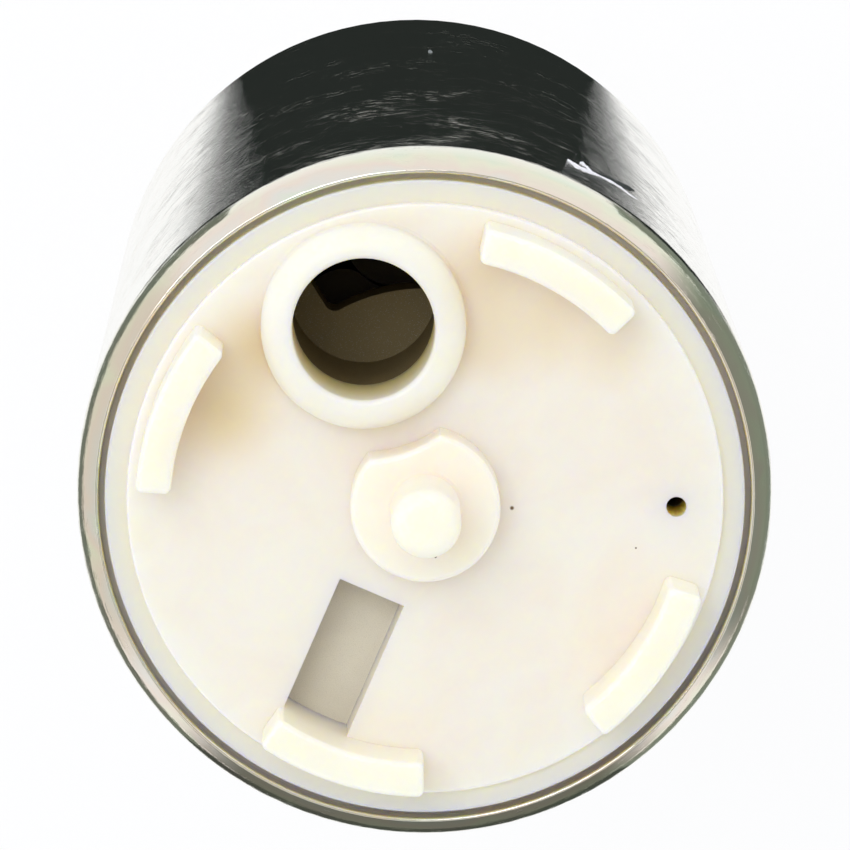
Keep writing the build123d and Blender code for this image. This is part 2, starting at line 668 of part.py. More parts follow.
# Windings: a bar in each slot, joined by the end turns at both ends
WINDING_INNER_R = BUSH_R + 2 * PASS_GAP
WINDING_OUTER_R = SLOT_OUTER_R - INSULATION
with BuildPart() as armature_windings:
    for z_turns in (Z_WINDING_END, Z_CORE + INSULATION):
        with BuildSketch(Plane.XY.offset(z_turns)):
            Circle(WINDING_OUTER_R)
            Circle(WINDING_INNER_R, mode=Mode.SUBTRACT)
        extrude(amount=OVERHANG - INSULATION)
    for z_edge in (Z_WINDING_END, Z_WINDING):
        fillet(circles(armature_windings, WINDING_OUTER_R, z_edge), TURN_ROUND)
        fillet(circles(armature_windings, WINDING_INNER_R, z_edge), TURN_ROUND_INSIDE)
    with BuildSketch(Plane.XY.offset(Z_CORE_END - OVERHANG / 2)):
        with PolarLocations(0, SLOTS):
            add(slot_shape(INSULATION))
    extrude(amount=CORE_LENGTH + OVERHANG)
armature_windings.part.label = "armature_windings"

# Face commutator: moulded base with copper segments
with BuildPart() as commutator_base:
    with BuildSketch(Plane.XY.offset(Z_SEGMENT)):
        Circle(COMM_R + PASS_GAP)
        Circle(JOURNAL_R + SEAT_GAP, mode=Mode.SUBTRACT)
    extrude(amount=COMM_BASE)
    with BuildSketch(Plane.XY.offset(Z_SEGMENT)):
        Circle(COMM_INNER_R - SEAT_GAP)
        Circle(JOURNAL_R + SEAT_GAP, mode=Mode.SUBTRACT)
    extrude(amount=-COMM_THICK)
commutator_base.part.label = "commutator_base"

with BuildPart() as commutator_segments:
    with BuildSketch(Plane.XY.offset(Z_COMM_FACE)):
        Circle(COMM_R)
        with PolarLocations(COMM_R, SLOTS, start_angle=180 / SLOTS):
            Rectangle(2 * TOOTH_TIP, SLOT_MOUTH)
        Circle(COMM_INNER_R, mode=Mode.SUBTRACT)
        with PolarLocations(COMM_R, SLOTS):
            Rectangle(2 * COMM_R, COMM_SLIT, mode=Mode.SUBTRACT)
    extrude(amount=COMM_THICK)
commutator_segments.part.label = "commutator_segments"

# Flux ring and the two ferrite magnets inside it
with BuildPart() as flux_ring:
    with BuildSketch(Plane.XY.offset(Z_FLUX_END)):
        Circle(FIT_R)
        Circle(FLUX_INNER_R, mode=Mode.SUBTRACT)
    extrude(amount=Z_FLUX - Z_FLUX_END)
flux_ring.part.label = "flux_ring"

Z_MAGNET_END = (Z_CORE + Z_CORE_END - MAGNET_LENGTH) / 2
magnets = {}
for magnet_name, magnet_angle in (("magnet_a", 0), ("magnet_b", 180)):
    with BuildPart() as magnet:
        with BuildSketch(Plane.XY.offset(Z_MAGNET_END)):
            magnet_start = magnet_angle - MAGNET_SPAN / 2
            add(sector(MAGNET_INNER_R, MAGNET_OUTER_R, magnet_start, MAGNET_SPAN, EDGE_ROUND))
        extrude(amount=MAGNET_LENGTH)
    magnet.part.label = magnet_name
    magnets[magnet_name] = magnet

# Spring clips that spread the magnets apart
clips = {}
for clip_name, clip_angle in (("magnet_clip_a", 90), ("magnet_clip_b", 270)):
    half_gap = 90 - MAGNET_SPAN / 2
    leg_r = MAGNET_INNER_R + CLIP_SHEET
    back_r = MAGNET_OUTER_R - CLIP_SHEET
    leg_turn = half_gap - 180 / pi * (CLIP_SHEET / 2 + SEAT_GAP) / leg_r
    back_turn = half_gap - 180 / pi * (CLIP_SHEET / 2 + SEAT_GAP) / back_r
    with BuildPart() as clip:
        with BuildSketch(Plane.XY.offset(Z_MAGNET_END)):
            with BuildLine():
                leg_low = polar(leg_r, clip_angle - leg_turn)
                leg_high = polar(leg_r, clip_angle + leg_turn)
                back_low = polar(back_r, clip_angle - back_turn)
                back_high = polar(back_r, clip_angle + back_turn)
                Line(leg_low, back_low)
                ThreePointArc(back_low, polar(back_r, clip_angle), back_high)
                Line(back_high, leg_high)
            trace(line_width=CLIP_SHEET)
        extrude(amount=MAGNET_LENGTH)
    clip.part.label = clip_name
    clips[clip_name] = clip

# Outlet cap: moulded acetal, with brush guides, bearing seat, outlet nipple and relief tower
with BuildPart() as outlet_cap:
    with BuildSketch(Plane.XZ):
        add(clamped_rim(-1, Z_FLOOR, FIT_R - SKIRT_WALL, Z_SKIRT))
    revolve(axis=Axis.Z)
    fillet(circles(outlet_cap, FACE_R, Z_CAP_FACE), EDGE_ROUND)
    Z_CAP_SEAL = (Z_FLOOR - Z_ROLL) / 2
    add(seal_groove(Z_CAP_SEAL), mode=Mode.SUBTRACT)
    with BuildSketch(Plane.XY.offset(Z_GUIDE)):
        with Locations(*BRUSH_POINTS.values()):
            Rectangle(2 * (GUIDE_HALF + GUIDE_WALL), 2 * (GUIDE_HALF + GUIDE_WALL))
    extrude(amount=Z_FLOOR - Z_GUIDE)
    with BuildSketch(Plane.XY.offset(Z_BEARING)):
        Circle(BEARING_R + GUIDE_WALL)
    extrude(amount=Z_FLOOR - Z_BEARING)
    for brush_point in BRUSH_POINTS.values():
        add(post(brush_point, TOWER_R, Z_CAP_FACE, Z_TOWER_END))
    add(post(OUTLET, NIPPLE_FOOT_R, Z_CAP_FACE, Z_CAP_FACE - NIPPLE_FOOT))
    add(post(RELIEF, RELIEF_TOWER_R, Z_CAP_FACE, Z_RELIEF_END))
    chamfer(circles(outlet_cap, RELIEF_TOWER_R, Z_RELIEF_END), TOWER_CHAMFER)
    with BuildSketch(Plane(origin=(*OUTLET, Z_CAP_FACE), x_dir=(1, 0, 0), z_dir=(0, -1, 0))):
        with BuildLine():
            tip = -NIPPLE_LENGTH
            nipple_points = [(0, tip), (NIPPLE_R - BARB_RISE / 2, tip)]
            for barb in range(BARBS):
                barb_top = tip + barb * BARB_PITCH + BARB_LENGTH
                nipple_points += [(NIPPLE_R + BARB_RISE, barb_top), (NIPPLE_R, barb_top)]
                nipple_points.append((NIPPLE_R, barb_top + BARB_PITCH - BARB_LENGTH))
            nipple_points += [(NIPPLE_R, -NIPPLE_FOOT), (0, -NIPPLE_FOOT)]
            Polyline(*nipple_points, close=True)
        make_face()
    revolve(axis=Axis((*OUTLET, 0), (0, 0, 1)))
    with BuildSketch(Plane.XY.offset(Z_TOWER_END)):
        with Locations(*BRUSH_POINTS.values()):
            Rectangle(2 * GUIDE_HALF, 2 * GUIDE_HALF)
    extrude(amount=Z_GUIDE - Z_TOWER_END, mode=Mode.SUBTRACT)
    with BuildSketch(Plane.XY.offset(Z_BEARING)):
        Circle(BEARING_R + SEAT_GAP)
    extrude(amount=-BEARING_LENGTH, mode=Mode.SUBTRACT)
    with BuildSketch(Plane.XY.offset(Z_FLOOR)):
        with Locations(OUTLET):
            Circle(VALVE_HOLE_R)
        with Locations(RELIEF):
            Circle(RELIEF_HOLE_R)
    extrude(amount=-max(VALVE_DEPTH, RELIEF_DEPTH), mode=Mode.SUBTRACT)
    with BuildSketch(Plane.XY.offset(Z_VALVE)):
        with Locations(OUTLET):
            Circle(OUTLET_BORE_R)
    extrude(amount=Z_CAP_FACE - NIPPLE_LENGTH - Z_VALVE, mode=Mode.SUBTRACT)
    with BuildSketch(Plane.XY.offset(Z_RELIEF)):
        with Locations(RELIEF):
            Circle(RELIEF_BORE_R)
    extrude(amount=Z_RELIEF_END - Z_RELIEF, mode=Mode.SUBTRACT)
outlet_cap.part.label = "outlet_cap"

cap_seal = seal_ring(Z_CAP_SEAL)
cap_seal.part.label = "cap_seal"

with BuildPart() as end_bearing:
    with BuildSketch(Plane.XY.offset(Z_BEARING)):
        Circle(BEARING_R)
        Circle(JOURNAL_R + RUN_GAP, mode=Mode.SUBTRACT)
    extrude(amount=-BEARING_LENGTH)
end_bearing.part.label = "end_bearing"

with BuildPart() as thrust_washer:
    with BuildSketch(Plane.XY.offset(Z_BEARING)):
        Circle(BEARING_R)
        Circle(JOURNAL_R + RUN_GAP, mode=Mode.SUBTRACT)
    extrude(amount=WASHER_THICK)
thrust_washer.part.label = "thrust_washer"

# Brush gear: a square carbon brush, its spring and lead, and the blade terminal, on each side
brush_gear = []
for side, brush_point in BRUSH_POINTS.items():
    with BuildPart() as brush:
        with BuildSketch(Plane.XY.offset(Z_BRUSH_END)):
            with Locations(brush_point):
                Rectangle(BRUSH_WIDTH, BRUSH_WIDTH)
        extrude(amount=BRUSH_LENGTH)
        chamfer(brush.faces().sort_by(Axis.Z)[0].edges(), EDGE_CHAMFER)
    brush.part.label = f"brush_{side}"
    brush_coil_r = BRUSH_WIDTH / 2 - SPRING_INSET
    brush_spring = coil_spring(brush_point, brush_coil_r, Z_BRUSH_END, Z_TERMINAL)
    brush_spring.part.label = f"brush_spring_{side}"
    with BuildPart() as brush_lead:
        with BuildSketch(Plane.XY.offset(Z_TERMINAL)):
            with Locations(brush_point):
                Circle(LEAD_R)
        extrude(amount=BRUSH_SPRING_SPACE - SEAT_GAP)
    brush_lead.part.label = f"brush_lead_{side}"
    with BuildPart() as terminal:
        with BuildSketch(Plane.XY.offset(Z_TERMINAL)):
            with Locations(brush_point):
                foot = 2 * (GUIDE_HALF - SEAT_GAP)
                Rectangle(foot, foot)
        extrude(amount=-TERMINAL_SHEET)
        with BuildSketch(Plane.XY.offset(Z_TERMINAL - TERMINAL_SHEET)):
            with Locations(brush_point):
                Rectangle(TERMINAL_SHEET, BLADE_WIDTH)
        extrude(amount=-BLADE_LENGTH)
        blade_end = terminal.faces().sort_by(Axis.Z)[0]
        chamfer(blade_end.edges().filter_by(Axis.Y), BLADE_CHAMFER)
    terminal.part.label = f"terminal_{side}"
    brush_gear += [brush, brush_spring, brush_lead, terminal]

# Check valve: spring-loaded poppet that closes the outlet when the pump stops
with BuildPart() as check_poppet:
    with BuildSketch(Plane(origin=(*OUTLET, 0), x_dir=(1, 0, 0), z_dir=(0, -1, 0))):
        with BuildLine():
            valve_rise = VALVE_R - VALVE_HOLE_R
            nose_r = VALVE_HOLE_R - VALVE_NOSE
            z_nose = Z_VALVE + VALVE_NOSE - 2 * RUN_GAP
            Polyline(
                (0, z_nose),
                (nose_r, z_nose),
                (VALVE_R, Z_VALVE - valve_rise - 2 * RUN_GAP),
                (VALVE_R, Z_VALVE_BACK),
                (VALVE_STEM_R, Z_VALVE_BACK),
                (VALVE_STEM_R, Z_RETAINER - RETAINER_THICK),
                (0, Z_RETAINER - RETAINER_THICK),
                close=True,
            )
        make_face()
    revolve(axis=Axis((*OUTLET, 0), (0, 0, 1)))
check_poppet.part.label = "check_poppet"

check_spring = coil_spring(OUTLET, (VALVE_R + VALVE_STEM_R) / 2, Z_VALVE_BACK, Z_RETAINER)
check_spring.part.label = "check_spring"

with BuildPart() as check_retainer:
    with BuildSketch(Plane.XY.offset(Z_RETAINER)):
        with Locations(OUTLET):
            Circle(OUTLET_BORE_R - SEAT_GAP)
            Circle(OUTLET_BORE_R - RETAINER_WALL, mode=Mode.SUBTRACT)
            with PolarLocations(OUTLET_BORE_R / 2, SPOKES):
                Rectangle(OUTLET_BORE_R - RETAINER_WALL / 2, SPOKE_WIDTH)
            Circle(VALVE_STEM_R + RUN_GAP + SPOKE_WIDTH / 2)
            Circle(VALVE_STEM_R + RUN_GAP, mode=Mode.SUBTRACT)
    extrude(amount=-RETAINER_THICK)
check_retainer.part.label = "check_retainer"

# Relief valve: ball, spring and hollow plug that open back into the tank
with BuildPart() as relief_ball:
    with Locations((*RELIEF, Z_BALL)):
        Sphere(RELIEF_BALL_R)
relief_ball.part.label = "relief_ball"

relief_coil_r = RELIEF_BORE_R - SPRING_INSET
ball_seat = sqrt(RELIEF_BALL_R**2 - (relief_coil_r - SPRING_WIRE_R) ** 2)
relief_spring = coil_spring(RELIEF, relief_coil_r, Z_BALL - ball_seat, Z_PLUG)
relief_spring.part.label = "relief_spring"

with BuildPart() as relief_plug:
    with BuildSketch(Plane.XY.offset(Z_PLUG)):
        with Locations(RELIEF):
            Circle(RELIEF_BORE_R - SEAT_GAP)
            Circle(PLUG_HOLE_R, mode=Mode.SUBTRACT)
    extrude(amount=-PLUG_THICK)
relief_plug.part.label = "relief_plug"

pieces = [
    housing_shell,
    inlet_cover,
    inlet_body,
    body_seal,
    stub_shaft,
    locating_pins,
    gear_ring,
    inner_gear,
    outer_gear,
    outlet_port_plate,
    plate_spring,
    drive_coupling,
    armature_bush,
    armature_shaft,
    armature_core,
    armature_windings,
    commutator_base,
    commutator_segments,
    flux_ring,
    outlet_cap,
    cap_seal,
    end_bearing,
    thrust_washer,
    check_poppet,
    check_spring,
    check_retainer,
    relief_ball,
    relief_spring,
    relief_plug,
    *magnets.values(),
    *clips.values(),
    *brush_gear,
]
os.makedirs("parts", exist_ok=True)
for piece in pieces:
    export_step(piece.part, f"parts/{piece.part.label}.step")
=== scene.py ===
"""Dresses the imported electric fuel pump: its finishes, its small surface pieces, studio and camera.

Lengths are in millimetres where a name or a comment says so, and otherwise in metres, in the
pump's own frame: its axis is Z and the inlet end is up. Patterns read Object coordinates that
are turned to millimetres first, so every scale in a finish is a real size.
"""

import json
import logging
import math
from dataclasses import dataclass
from enum import Enum
from random import Random
from typing import Iterable, Iterator

import bmesh
import bpy
from mathutils import Matrix, Vector

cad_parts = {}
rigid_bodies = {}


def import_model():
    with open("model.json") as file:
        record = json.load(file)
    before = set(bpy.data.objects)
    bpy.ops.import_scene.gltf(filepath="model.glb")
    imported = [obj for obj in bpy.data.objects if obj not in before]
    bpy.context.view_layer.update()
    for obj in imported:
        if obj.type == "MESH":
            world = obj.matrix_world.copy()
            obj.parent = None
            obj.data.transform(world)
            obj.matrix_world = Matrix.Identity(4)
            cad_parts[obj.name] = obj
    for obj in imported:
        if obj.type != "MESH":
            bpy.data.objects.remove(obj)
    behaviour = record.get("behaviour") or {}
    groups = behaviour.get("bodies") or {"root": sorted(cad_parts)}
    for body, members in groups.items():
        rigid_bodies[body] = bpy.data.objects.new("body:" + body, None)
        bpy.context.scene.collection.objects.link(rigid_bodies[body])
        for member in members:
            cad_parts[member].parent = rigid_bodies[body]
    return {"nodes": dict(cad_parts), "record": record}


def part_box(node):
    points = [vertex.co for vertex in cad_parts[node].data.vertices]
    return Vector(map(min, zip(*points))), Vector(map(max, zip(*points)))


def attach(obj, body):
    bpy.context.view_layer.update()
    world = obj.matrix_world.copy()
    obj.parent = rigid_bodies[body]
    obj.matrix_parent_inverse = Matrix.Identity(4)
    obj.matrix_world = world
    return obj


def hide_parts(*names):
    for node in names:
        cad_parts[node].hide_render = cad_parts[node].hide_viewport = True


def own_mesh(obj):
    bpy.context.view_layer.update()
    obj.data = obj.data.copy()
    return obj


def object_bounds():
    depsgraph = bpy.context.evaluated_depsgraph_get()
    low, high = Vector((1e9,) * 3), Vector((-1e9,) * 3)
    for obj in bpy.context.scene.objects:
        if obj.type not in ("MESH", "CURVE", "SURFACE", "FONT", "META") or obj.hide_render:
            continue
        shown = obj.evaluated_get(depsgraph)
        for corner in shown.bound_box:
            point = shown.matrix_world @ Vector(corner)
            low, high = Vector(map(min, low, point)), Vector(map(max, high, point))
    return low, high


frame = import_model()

CAD_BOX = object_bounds()
MM = 0.001
LOG = logging.getLogger("fuel_pump")

Colour = tuple[float, float, float, float]


def linear(code: str) -> Colour:
    """Turn an sRGB hex colour into the linear colour that a shader takes.

    Args:
        code: Six hex digits after a hash, such as "#F4EEDC".

    Returns:
        Linear red, green, blue and an alpha of 1.
    """
    parts = [int(code[i : i + 2], 16) / 255 for i in (1, 3, 5)]
    return (*(p / 12.92 if p <= 0.04045 else ((p + 0.055) / 1.055) ** 2.4 for p in parts), 1.0)


def add_node(tree: bpy.types.NodeTree, kind: str, inputs: dict | None = None, **settings) -> bpy.types.Node:
    """Add a node to a tree, set it up, and fill or link its sockets.

    Args:
        tree: The material's or the world's node tree.
        kind: The node's type name without ShaderNode, such as "TexNoise".
        inputs: Socket name or number to a value, a socket, or a node whose first output is meant.
        settings: Properties of the node itself, such as operation.

    Returns:
        The new node.
    """
    made = tree.nodes.new("ShaderNode" + kind)
    for name, value in settings.items():
        setattr(made, name, value)
    for key, value in (inputs or {}).items():
        named = [s for s in made.inputs if s.enabled and s.name == key]
        socket = made.inputs[key] if isinstance(key, int) else named[0]
        if isinstance(value, bpy.types.Node):
            value = next(s for s in value.outputs if s.enabled)
        if isinstance(value, bpy.types.NodeSocket):
            tree.links.new(value, socket)
        else:
            socket.default_value = value
    return made


@dataclass(frozen=True)
class Finish:
    """A material as the pump's maker would name it. Each kind of surface has its own subclass."""

    name: str

    def material(self) -> bpy.types.Material:
        """Make the material once, and give it again when it is asked for."""
        known = bpy.data.materials.get(self.name)
        if known:
            return known
        made = bpy.data.materials.new(self.name)
        made.use_nodes = True
        tree = made.node_tree
        tree.nodes.clear()
        place = add_node(tree, "TexCoord")
        scale = (1 / MM, 1 / MM, 1 / MM)
        in_mm = add_node(tree, "VectorMath", {0: place.outputs["Object"], 1: scale}, operation="MULTIPLY")
        shader = self.shader(tree, in_mm)
        add_node(tree, "OutputMaterial", {"Surface": shader})
        return made

    def shader(self, tree: bpy.types.NodeTree, in_mm: bpy.types.Node) -> bpy.types.Node:
        """Build the surface's nodes.

        Args:
            tree: The material's node tree.
            in_mm: Node that gives the point in the pump's frame, in millimetres.

        Returns:
            The shader node.
        """
        raise NotImplementedError


class Lay(Enum):
    """How the fine marks of a metal surface run, as stretch factors along X, Y and Z."""

    AROUND = (0.6, 0.6, 9.0)
    ALONG = (9.0, 9.0, 0.6)
    EVEN = (3.0, 3.0, 3.0)


@dataclass(frozen=True)
class WorkedMetal(Finish):
    """Metal with the marks that turning, drawing, grinding or tumbling leaves on it."""

    colour: str
    stain_and_shade: str
    roughness: float
    lay: Lay
    mark_mm: float
    mark_depth: float = 0.15
    stain_mm: float = 4.0
    stain_edge: tuple[float, float] = (0.42, 0.72)
    stain_share: float = 0.8
    mark_edge: tuple[float, float] = (0.3, 0.7)
    rough_share: tuple[float, float] = (0.75, 1.3)
    height_mm: float = 0.02

    def shader(self, tree: bpy.types.NodeTree, in_mm: bpy.types.Node) -> bpy.types.Node:
        """Marks set the bump and the roughness, and slow stains set the colour."""
        stretched = add_node(tree, "VectorMath", {0: in_mm, 1: self.lay.value}, operation="MULTIPLY")
        scale = 1 / (self.mark_mm * max(self.lay.value))
        fine = {"Vector": stretched, "Scale": scale, "Detail": 5.0, "Roughness": 0.65}
        marks = add_node(tree, "TexNoise", fine)
        stains_and_shades = add_node(tree, "TexNoise", {"Vector": in_mm, "Scale": 1 / self.stain_mm, "Detail": 4.0})
        low, high = self.stain_edge
        edge = {"Value": stains_and_shades, "From Min": low, "From Max": high, "To Max": self.stain_share}
        amount = add_node(tree, "MapRange", edge)
        tones = {"Factor": amount, "A": linear(self.colour), "B": linear(self.stain_and_shade)}
        low, high = self.mark_edge
        smooth, rough = (self.roughness * share for share in self.rough_share)
        polish = {"Value": marks, "From Min": low, "From Max": high, "To Min": smooth, "To Max": rough}
        relief = {"Strength": self.mark_depth, "Distance": self.height_mm * MM, "Height": marks}
        sockets = {
            "Base Color": add_node(tree, "Mix", tones, data_type="RGBA"),
            "Metallic": 1.0,
            "Roughness": add_node(tree, "MapRange", polish),
            "Normal": add_node(tree, "Bump", relief),
        }
        return add_node(tree, "BsdfPrincipled", sockets)


@dataclass(frozen=True)
class PressedPowder(Finish):
    """Pressed and fired powder: grains and open pores, with no direction."""

    colour: str
    cloud: str
    pore: str
    metallic: float
    roughness: float
    grain_mm: float
    pore_share: float = 0.12
    cloud_mm: float = 3.5
    shine: float = 0.5
    cloud_edge: tuple[float, float] = (0.35, 0.7)
    pore_blur: float = 2.2
    pore_dark: float = 0.7
    grain_edge: tuple[float, float] = (0.3, 0.7)
    grain_shade: tuple[float, float] = (0.9, 1.06)
    height_mm: float = 0.03

    def tint(self, tree: bpy.types.NodeTree, in_mm: bpy.types.Node) -> bpy.types.Node:
        """Colour of the powder before its grain: two tones in slow clouds.

        Args:
            tree: The material's node tree.
            in_mm: Node that gives the point in the pump's frame, in millimetres.

        Returns:
            The node that gives the colour.
        """
        clouds = add_node(tree, "TexNoise", {"Vector": in_mm, "Scale": 1 / self.cloud_mm, "Detail": 2.0})
        low, high = self.cloud_edge
        amount = add_node(tree, "MapRange", {"Value": clouds, "From Min": low, "From Max": high})
        tones = {"Factor": amount, "A": linear(self.colour), "B": linear(self.cloud)}
        return add_node(tree, "Mix", tones, data_type="RGBA")

    def shader(self, tree: bpy.types.NodeTree, in_mm: bpy.types.Node) -> bpy.types.Node:
        """Grain tone from noise, and dark pores where a cell pattern's distance is small."""
        fine = {"Vector": in_mm, "Scale": 1 / self.grain_mm, "Detail": 3.0, "Roughness": 0.7}
        grain = add_node(tree, "TexNoise", fine)
        cells = add_node(tree, "TexVoronoi", {"Vector": in_mm, "Scale": 0.5 / self.grain_mm})
        edge = {
            "Value": cells.outputs["Distance"],
            "From Min": self.pore_share,
            "From Max": self.pore_share * self.pore_blur,
            "To Min": self.pore_dark,
            "To Max": 0.0,
        }
        pores = add_node(tree, "MapRange", edge)
        low, high = self.grain_edge
        dark, bright = self.grain_shade
        edge = {"Value": grain, "From Min": low, "From Max": high, "To Min": dark, "To Max": bright}
        shade = add_node(tree, "MapRange", edge)
        toned = add_node(tree, "VectorMath", {0: self.tint(tree, in_mm), 3: shade}, operation="SCALE")
        tones = {"Factor": pores, "A": toned, "B": linear(self.pore)}
        height = add_node(tree, "Math", {0: grain, 1: pores}, operation="SUBTRACT")
        relief = {"Strength": 0.35, "Distance": self.height_mm * MM, "Height": height}
        sockets = {
            "Base Color": add_node(tree, "Mix", tones, data_type="RGBA"),
            "Metallic": self.metallic,
            "Roughness": self.roughness,
            "Specular IOR Level": self.shine,
            "Normal": add_node(tree, "Bump", relief),
        }
        return add_node(tree, "BsdfPrincipled", sockets)


@dataclass(frozen=True)
class BoredPowder(PressedPowder):
    """Sintered iron that is ground on its face, with painted shade that darkens it below the face in its
    bores.
    """

    deep_shade: str = "#9B8C66"
    face_z: float = 34.9
    bare: float = 0.1
    fade: float = 0.5

    def tint(self, tree: bpy.types.NodeTree, in_mm: bpy.types.Node) -> bpy.types.Node:
        """The face's tones, and painted shade below it."""
        tone = super().tint(tree, in_mm)
        height = add_node(tree, "SeparateXYZ", {"Vector": in_mm}).outputs["Z"]
        top, deep = self.face_z - self.bare, self.face_z - self.fade
        below = add_node(tree, "MapRange", {"Value": height, "From Min": top, "From Max": deep})
        tones = {"Factor": below, "A": tone, "B": linear(self.deep_shade)}
        return add_node(tree, "Mix", tones, data_type="RGBA")


@dataclass(frozen=True)
class Moulding(Finish):
    """Injection-moulded plastic: even colour with faint flow clouds, slightly see-through at edges."""

    colour: str
    cloud: str
    roughness: float
    depth_mm: float
    glow: float
    grain_mm: float = 0.12
    clouds_per_mm: float = 0.22
    cloud_edge: tuple[float, float] = (0.4, 0.75)
    spread: tuple[float, float, float] = (1.0, 0.85, 0.2)
    height_mm: float = 0.02

    def tint(self, tree: bpy.types.NodeTree, in_mm: bpy.types.Node) -> bpy.types.Node:
        """Colour of the moulding over its surface: two tones in slow clouds.

        Args:
            tree: The material's node tree.
            in_mm: Node that gives the point in the pump's frame, in millimetres.

        Returns:
            The node that gives the colour.
        """
        slow = {"Vector": in_mm, "Scale": self.clouds_per_mm, "Detail": 3.0, "Distortion": 0.6}
        clouds = add_node(tree, "TexNoise", slow)
        low, high = self.cloud_edge
        amount = add_node(tree, "MapRange", {"Value": clouds, "From Min": low, "From Max": high})
        tones = {"Factor": amount, "A": linear(self.colour), "B": linear(self.cloud)}
        return add_node(tree, "Mix", tones, data_type="RGBA")

    def shader(self, tree: bpy.types.NodeTree, in_mm: bpy.types.Node) -> bpy.types.Node:
        """Light enters and spreads by depth_mm, and the die's fine grain sets the bump."""
        grain = add_node(tree, "TexNoise", {"Vector": in_mm, "Scale": 1 / self.grain_mm, "Detail": 2.0})
        relief = {"Strength": 0.12, "Distance": self.height_mm * MM, "Height": grain}
        sockets = {
            "Base Color": self.tint(tree, in_mm),
            "Roughness": self.roughness,
            "IOR": 1.48,
            "Subsurface Weight": self.glow,
            "Subsurface Radius": self.spread,
            "Subsurface Scale": self.depth_mm * MM,
            "Normal": add_node(tree, "Bump", relief),
        }
        return add_node(tree, "BsdfPrincipled", sockets)


@dataclass(frozen=True)
class Speck:
    """A round fleck, or a soft patch of painted shade, on the cover's face, in millimetres from the pump's
    axis.
    """

    x: float
    y: float
    radius: float
    share: float = 1.0


@dataclass(frozen=True)
class Bore:
    """A hole in the cover: its axis and radius, and the heights between which painted warm shade grows on
    its wall.
    """

    x: float
    y: float
    radius: float
    top: float
    deep: float


